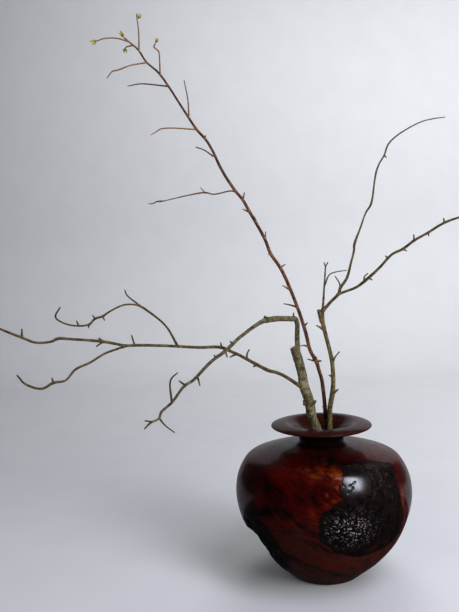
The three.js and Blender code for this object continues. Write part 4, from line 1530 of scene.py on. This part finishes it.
@dataclass(frozen=True)
class RightInclusion(Inclusion):
    """Large rough inclusion on the right of the front."""

    name: str = "right_bark_inclusion"
    around: Span = (-14.0, 58.0)
    height: Span = (49.0, 156.5)
    step: Span = (0.32, 0.6)
    smooth: Marks = ((49, 80, 14, 26, 0, 4.5),)
    beside_lobe: Marks = ((27, 145, 10, 16, 0, 5.0), (15, 152, 14, 5, 0, 5.0))
    golds: Marks = ((34, 146, 18, 7, -20, 1.8), (41, 128, 7, 18, 0, 0.8), (14, 92, 20, 14, 0, 0.12))
    warms: Marks = ((33, 60, 8, 5, 0, 0.6), (18, 88, 8, 8, 0, 0.1))
    # the area of painted glints, highlights painted among the grains
    glints: Marks = ((9, 91, 21, 15, 0, 1.1),)

    def inward(self, grid: WallGrid) -> tuple[Array, Array]:
        """How far inside the pocket a point is, in mm, and how rough the bark is there."""
        gap = grid.gap(self.vase.right_pocket) + grid.ragged
        rougher = grid.marks(self.beside_lobe) - grid.marks(self.smooth)
        return gap, eased(gap + rougher, 0.8, 4.5)

    def depth(self, grid: WallGrid) -> Array:
        """Smooth at the wall's level along the edge, then grains and lumps that sink inwards."""
        gap, rough = self.inward(grid)
        grains = grid.mark(9, 92, 32, 22)
        level = 0.22 + 1.3 * rough * (1.0 - 0.4 * clouds(grid.flat, 11.0, 3.0))
        level = level - 0.5 * rough * clouds(grid.flat, 4.0, 4.0)
        level = level - rough * (0.5 + 0.9 * grains) * pebbles(grid.flat, 3.0, 8.0)
        level = level - 0.4 * rough * pebbles(grid.flat, 1.5, 9.0)
        return np.maximum(level + 0.6 * grains * rough, 0.12) + 5.0 * eased(-gap, 2.5, 5.0)

    def painted(self, grid: WallGrid) -> dict[str, Array]:
        """Gold flecks at the upper right, painted glints among the grains, warm wood below and
        right.
        """
        rough = self.inward(grid)[1]
        rows = {"gold": self.golds, "warm": self.warms, "glint": self.glints}
        shares = {name: np.clip(grid.marks(marks) * rough, 0, 1) for name, marks in rows.items()}
        return shares | {"rough": rough}


@dataclass(frozen=True)
class LeftInclusion(Inclusion):
    """Deep ragged inclusion low on the left."""

    name: str = "left_bark_inclusion"
    around: Span = (-126.0, -31.0)
    height: Span = (10.0, 94.0)
    step: Span = (0.44, 0.62)

    def depth(self, grid: WallGrid) -> Array:
        """Torn bark: coarse lumps, grains and hollows about the pocket's own level."""
        gap, flat = grid.gap(self.vase.left_pocket) + 1.6 * grid.ragged, grid.flat
        rough = eased(gap, 0.5, 8.0)
        torn = 0.3 + self.vase.left_level(gap) + rough * (0.4 - 0.8 * clouds(flat, 13.0, 23.0))
        torn = torn - rough * (0.8 * clouds(flat, 5.0, 24.0) + 0.9 * pebbles(flat, 4.4, 28.0))
        torn = torn + 1.2 * rough * eased(clouds(flat, 9.0, 31.0), 0.25, 0.7)
        return np.maximum(torn, 0.15) + 5.0 * eased(-gap, 2.5, 5.0)

    def painted(self, grid: WallGrid) -> dict[str, Array]:
        """A few warm streaks and no gold."""
        warm = 0.2 * eased(clouds(grid.flat, 12.0, 33.0), 0.2, 0.7)
        return {"gold": 0 * warm, "warm": warm, "glint": 0 * warm, "rough": 1 + 0 * warm}


@dataclass(frozen=True)
class PolishedLobe(Inclusion):
    """Smooth dark lobe at the upper left of the right pocket, a hair proud of the wood."""

    name: str = "polished_lobe"
    around: Span = (-1.5, 35.0)
    height: Span = (113.0, 158.5)
    step: Span = (0.2, 0.36)
    cracks: Scratches = (
        (((12.6, 139.2), (14.4, 141.0)), 0.85),
        (((10.0, 137.3), (10.9, 138.2)), 1.0),
        (((11.3, 135.0), (12.0, 136.0)), 0.95),
        (((8.3, 131.2), (9.9, 132.6)), 0.85),
        (((10.2, 132.9), (11.0, 134.0)), 0.45),
        (((3.3, 142.5), (6.6, 138.2)), 0.6),
    )

    def cracked(self, grid: WallGrid) -> Array:
        """Short slanting cracks."""
        return np.clip(grid.scratches(self.cracks), 0, 1)

    def depth(self, grid: WallGrid) -> Array:
        """Nearly flush, with faint waves and slanting cracks, and sinking at its border."""
        gap = grid.gap(self.vase.lobe) + 0.5 * grid.ragged
        waves = 0.04 * clouds(grid.flat, 14.0, 7.0) + 0.02 * clouds(grid.flat, 4.0, 17.0)
        return -0.13 + waves + 0.9 * self.cracked(grid) + 2.4 * eased(-gap, 0.3, 2.4)

    def painted(self, grid: WallGrid) -> dict[str, Array]:
        """Black in the cracks, and a polish that fades out towards the border."""
        gap = grid.gap(self.vase.lobe) + 2.0 * grid.ragged
        middle = np.clip(grid.mark(12.5, 138.5, 15, 10, 10, 1.3), 0, 1)
        return {"crack": self.cracked(grid), "polish": middle * eased(gap, -1.0, 2.5)}


# ------------------------------------------------------------------ studio


def posed(made: bpy.types.Object, side: Array, up: Array, back: Array, place: Place) -> None:
    """Turns and places a light or the camera, and puts it into the scene.

    Args:
        made: the light or camera.
        side, up, back: its right, upward and backward directions.
        place: where it stands, in metres.
    """
    frame = np.eye(4)
    frame[:3] = np.stack([side, up, back, place], axis=-1)
    made.matrix_world = Matrix(frame.tolist())
    bpy.context.scene.collection.objects.link(made)


class LampShape(Enum):
    """Outline of a soft light."""

    BOX = "RECTANGLE"
    OVAL = "ELLIPSE"


@dataclass(frozen=True)
class SoftLight:
    """Flat soft light that faces a point."""

    name: str
    place: Place
    aim: Place
    size: Span
    power: float
    tint: Colour = (1.0, 1.0, 1.0)
    shape: LampShape = LampShape.BOX
    mirrored: bool = False
    spread: float = 180.0

    def build(self) -> None:
        """Makes the light; one that is not mirrored leaves no highlight on polished wood."""
        light = bpy.data.lights.new(self.name, "AREA")
        light.shape = self.shape.value
        light.size, light.size_y = self.size
        light.energy = self.power
        light.color = self.tint
        light.spread = math.radians(self.spread)
        made = bpy.data.objects.new(self.name, light)
        made.visible_glossy = self.mirrored
        made.visible_camera = False
        back = unit(np.array(self.place) - np.array(self.aim))
        side = unit(np.cross([0.0, 0.0, 1.0], back))
        posed(made, side, np.cross(back, side), back, self.place)


@dataclass(frozen=True)
class Studio:
    """Pale paper sweep in a dim room, soft lights and the camera; lengths are in metres."""

    camera_place: Place = (-0.1072, -0.8482, 0.3875)
    pitch_down: float = 3.64
    roll: float = 2.0
    lens: float = 41.18
    sensor: float = 36.0
    paper: Colour = (0.62, 0.628, 0.648)
    mottle: float = 0.965
    bend_start: float = 1.35
    bend_radius: float = 0.55
    mirror_end: float = 0.12  # the polish shows no paper in front of this line,
    mirror_side: float = -1.15  # nor to the left of this one,
    mirror_top: float = 1.5  # nor above this height
    wall_top: float = 4.5
    half_width: float = 5.0
    front_edge: float = -4.0
    drop: float = 0.0003  # the paper lies this far below the foot
    fade: Span = (1.5, 2.3)  # where the paper fades into the pale room
    lights: tuple[SoftLight, ...] = (
        SoftLight("tall_window", (0.66, -0.70, 1.30), (0.0, 0.0, 0.15), (0.5, 1.4), 14.0,
                  (0.82, 0.86, 1.0), LampShape.OVAL, mirrored=True),
        SoftLight("front_window", (1.3, -1.5, 0.8), (0.0, 0.0, 0.1), (1.0, 1.0), 34.0),
        SoftLight("back_skylight", (0.2, 0.9, 1.8), (0.1, 0.1, 0.0), (1.0, 1.0), 10.0),
        SoftLight("left_bounce", (-1.2, -1.2, 1.0), (0.0, 0.0, 0.0), (1.0, 1.0), 5.4),
        SoftLight("floor_lamp", (0.9, 0.39, 0.9), (0.85, 0.4, 0.0), (0.7, 0.7), 2.2, spread=110),
        SoftLight("low_wall_lamp", (1.2, 0.9, 1.0), (0.9, 1.9, 0.5), (1.6, 1.0), 3.8, spread=120),
        SoftLight("high_wall_lamp", (0.3, 0.8, 2.5), (0.3, 1.9, 1.6), (1.6, 0.8), 10.0, spread=120),
        SoftLight("side_wall_lamp", (1.9, 1.0, 1.7), (0.9, 1.9, 1.4), (0.8, 0.8), 3.0, spread=100),
    )
    dim: Colour = (0.035, 0.037, 0.041)
    seen: Colour = (0.56, 0.575, 0.6)

    def build(self) -> None:
        """Makes the sweep, lights, room and camera."""
        self.sweep()
        for light in self.lights:
            light.build()
        self.room()
        self.camera()
        view = bpy.context.scene.view_settings
        view.view_transform = "Standard"
        view.look = "None"

    def sweep(self) -> None:
        """Floor that curves up into a wall: a quarter circle between two straight stretches."""
        made = Shader("paper_sweep")
        tone = tuple(self.mottle * value for value in self.paper)
        made.colour = made.ramp(made.noise(90, 3, 0.5), (0.3, tone), (0.7, self.paper))
        made.emboss(made.noise(1.5, 3, 0.6), 0.1, 0.2)
        split = made.node("ShaderNodeSeparateXYZ", {"Vector": made.vector})
        start, end = self.fade
        side = made.range(made.combined("ABSOLUTE", split.outputs["X"], 0.0), start, end, 1, 0)
        front = made.range(split.outputs["Y"], -end, -start)
        look = made.finish(0.9, Alpha=made.times(side, front))
        bend = np.radians(np.linspace(0, 90, 24))
        rise = self.bend_radius
        curve = np.stack([self.bend_start + rise * np.sin(bend), rise - rise * np.cos(bend)], -1)
        wall = self.bend_start + rise
        back = np.vstack([[[self.mirror_end, 0.0]], curve, [[wall, self.mirror_top]]])
        high = np.array([[wall, self.mirror_top], [wall, self.wall_top]])
        front = np.array([[self.front_edge, 0.0], [self.mirror_end, 0.0]])
        left, right = -self.half_width, self.half_width
        self.sheet("paper_sweep", back, (self.mirror_side, right), look)
        for name, profile, width in (
            ("paper_left", back, (left, self.mirror_side)), ("paper_front", front, (left, right)),
            ("paper_high", high, (left, right)),
        ):
            self.sheet(name, profile, width, look).visible_glossy = False

    def sheet(
        self, name: str, profile: Array, width: Span, look: bpy.types.Material
    ) -> bpy.types.Object:
        """A stretch of paper: a line of (y, z) points carried along X.

        Args:
            name: the sheet's name.
            profile: the line, in metres.
            width: where it starts and ends along X, in metres.
            look: its material.

        Returns:
            The sheet.
        """
        points = np.zeros((len(profile), 2, 3))
        points[:, :, 0] = width
        points[:, :, 1:] = profile[:, None]
        points[:, :, 2] -= self.drop
        low = np.arange(len(profile) - 1) * 2
        faces = np.stack([low, low + 1, low + 3, low + 2], axis=-1)
        mesh = bpy.data.meshes.new(name)
        mesh.from_pydata(points.reshape(-1, 3).tolist(), [], faces.tolist())
        mesh.polygons.foreach_set("use_smooth", np.ones(len(faces), dtype=bool))
        mesh.materials.append(look)
        laid = bpy.data.objects.new(name, mesh)
        bpy.context.scene.collection.objects.link(laid)
        return laid

    def room(self) -> None:
        """A dim room that looks pale only where it is seen past the paper's edge."""
        world = bpy.data.worlds.new("dim_room")
        world.use_nodes = True
        tree = world.node_tree
        back = tree.nodes["Background"]
        path = tree.nodes.new("ShaderNodeLightPath")
        choice = tree.nodes.new("ShaderNodeMix")
        choice.data_type = "RGBA"
        for index, colour in ((6, self.dim), (7, self.seen)):  # A and B
            choice.inputs[index].default_value = (*colour, 1.0)
        tree.links.new(path.outputs["Is Camera Ray"], choice.inputs[0])
        tree.links.new(choice.outputs[2], back.inputs["Color"])
        bpy.context.scene.world = world

    def camera(self) -> None:
        """The photograph's viewpoint: pitched a little down and rolled a little."""
        camera = bpy.data.cameras.new("camera")
        camera.sensor_width = self.sensor
        camera.lens = self.lens
        camera.clip_end = 50.0
        pitch, roll = math.radians(self.pitch_down), math.radians(self.roll)
        upright = np.array([0.0, math.sin(pitch), math.cos(pitch)])
        level, back = np.array([1.0, 0.0, 0.0]), np.array([0.0, -math.cos(pitch), math.sin(pitch)])
        side = math.cos(roll) * level - math.sin(roll) * upright
        up = math.sin(roll) * level + math.cos(roll) * upright
        made = bpy.data.objects.new("camera", camera)
        posed(made, side, up, back, self.camera_place)
        bpy.context.scene.camera = made


def dress_water(frame: dict) -> None:
    """Gives the water in the vase its surface."""
    frame["nodes"]["water"].material_slots[0].material = WaterFinish().material()


def main() -> None:
    """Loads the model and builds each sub-assembly."""
    logging.basicConfig(level=logging.INFO, format="%(name)s %(message)s")
    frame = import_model()
    Studio().build()
    BurlVase().build()
    dress_water(frame)
    LeftBranch().build()
    MiddleShoot().build()
    RightBranch().build()
    YoungLeaves().build()
    bpy.context.view_layer.update()


if __name__ == "__main__":
    main()
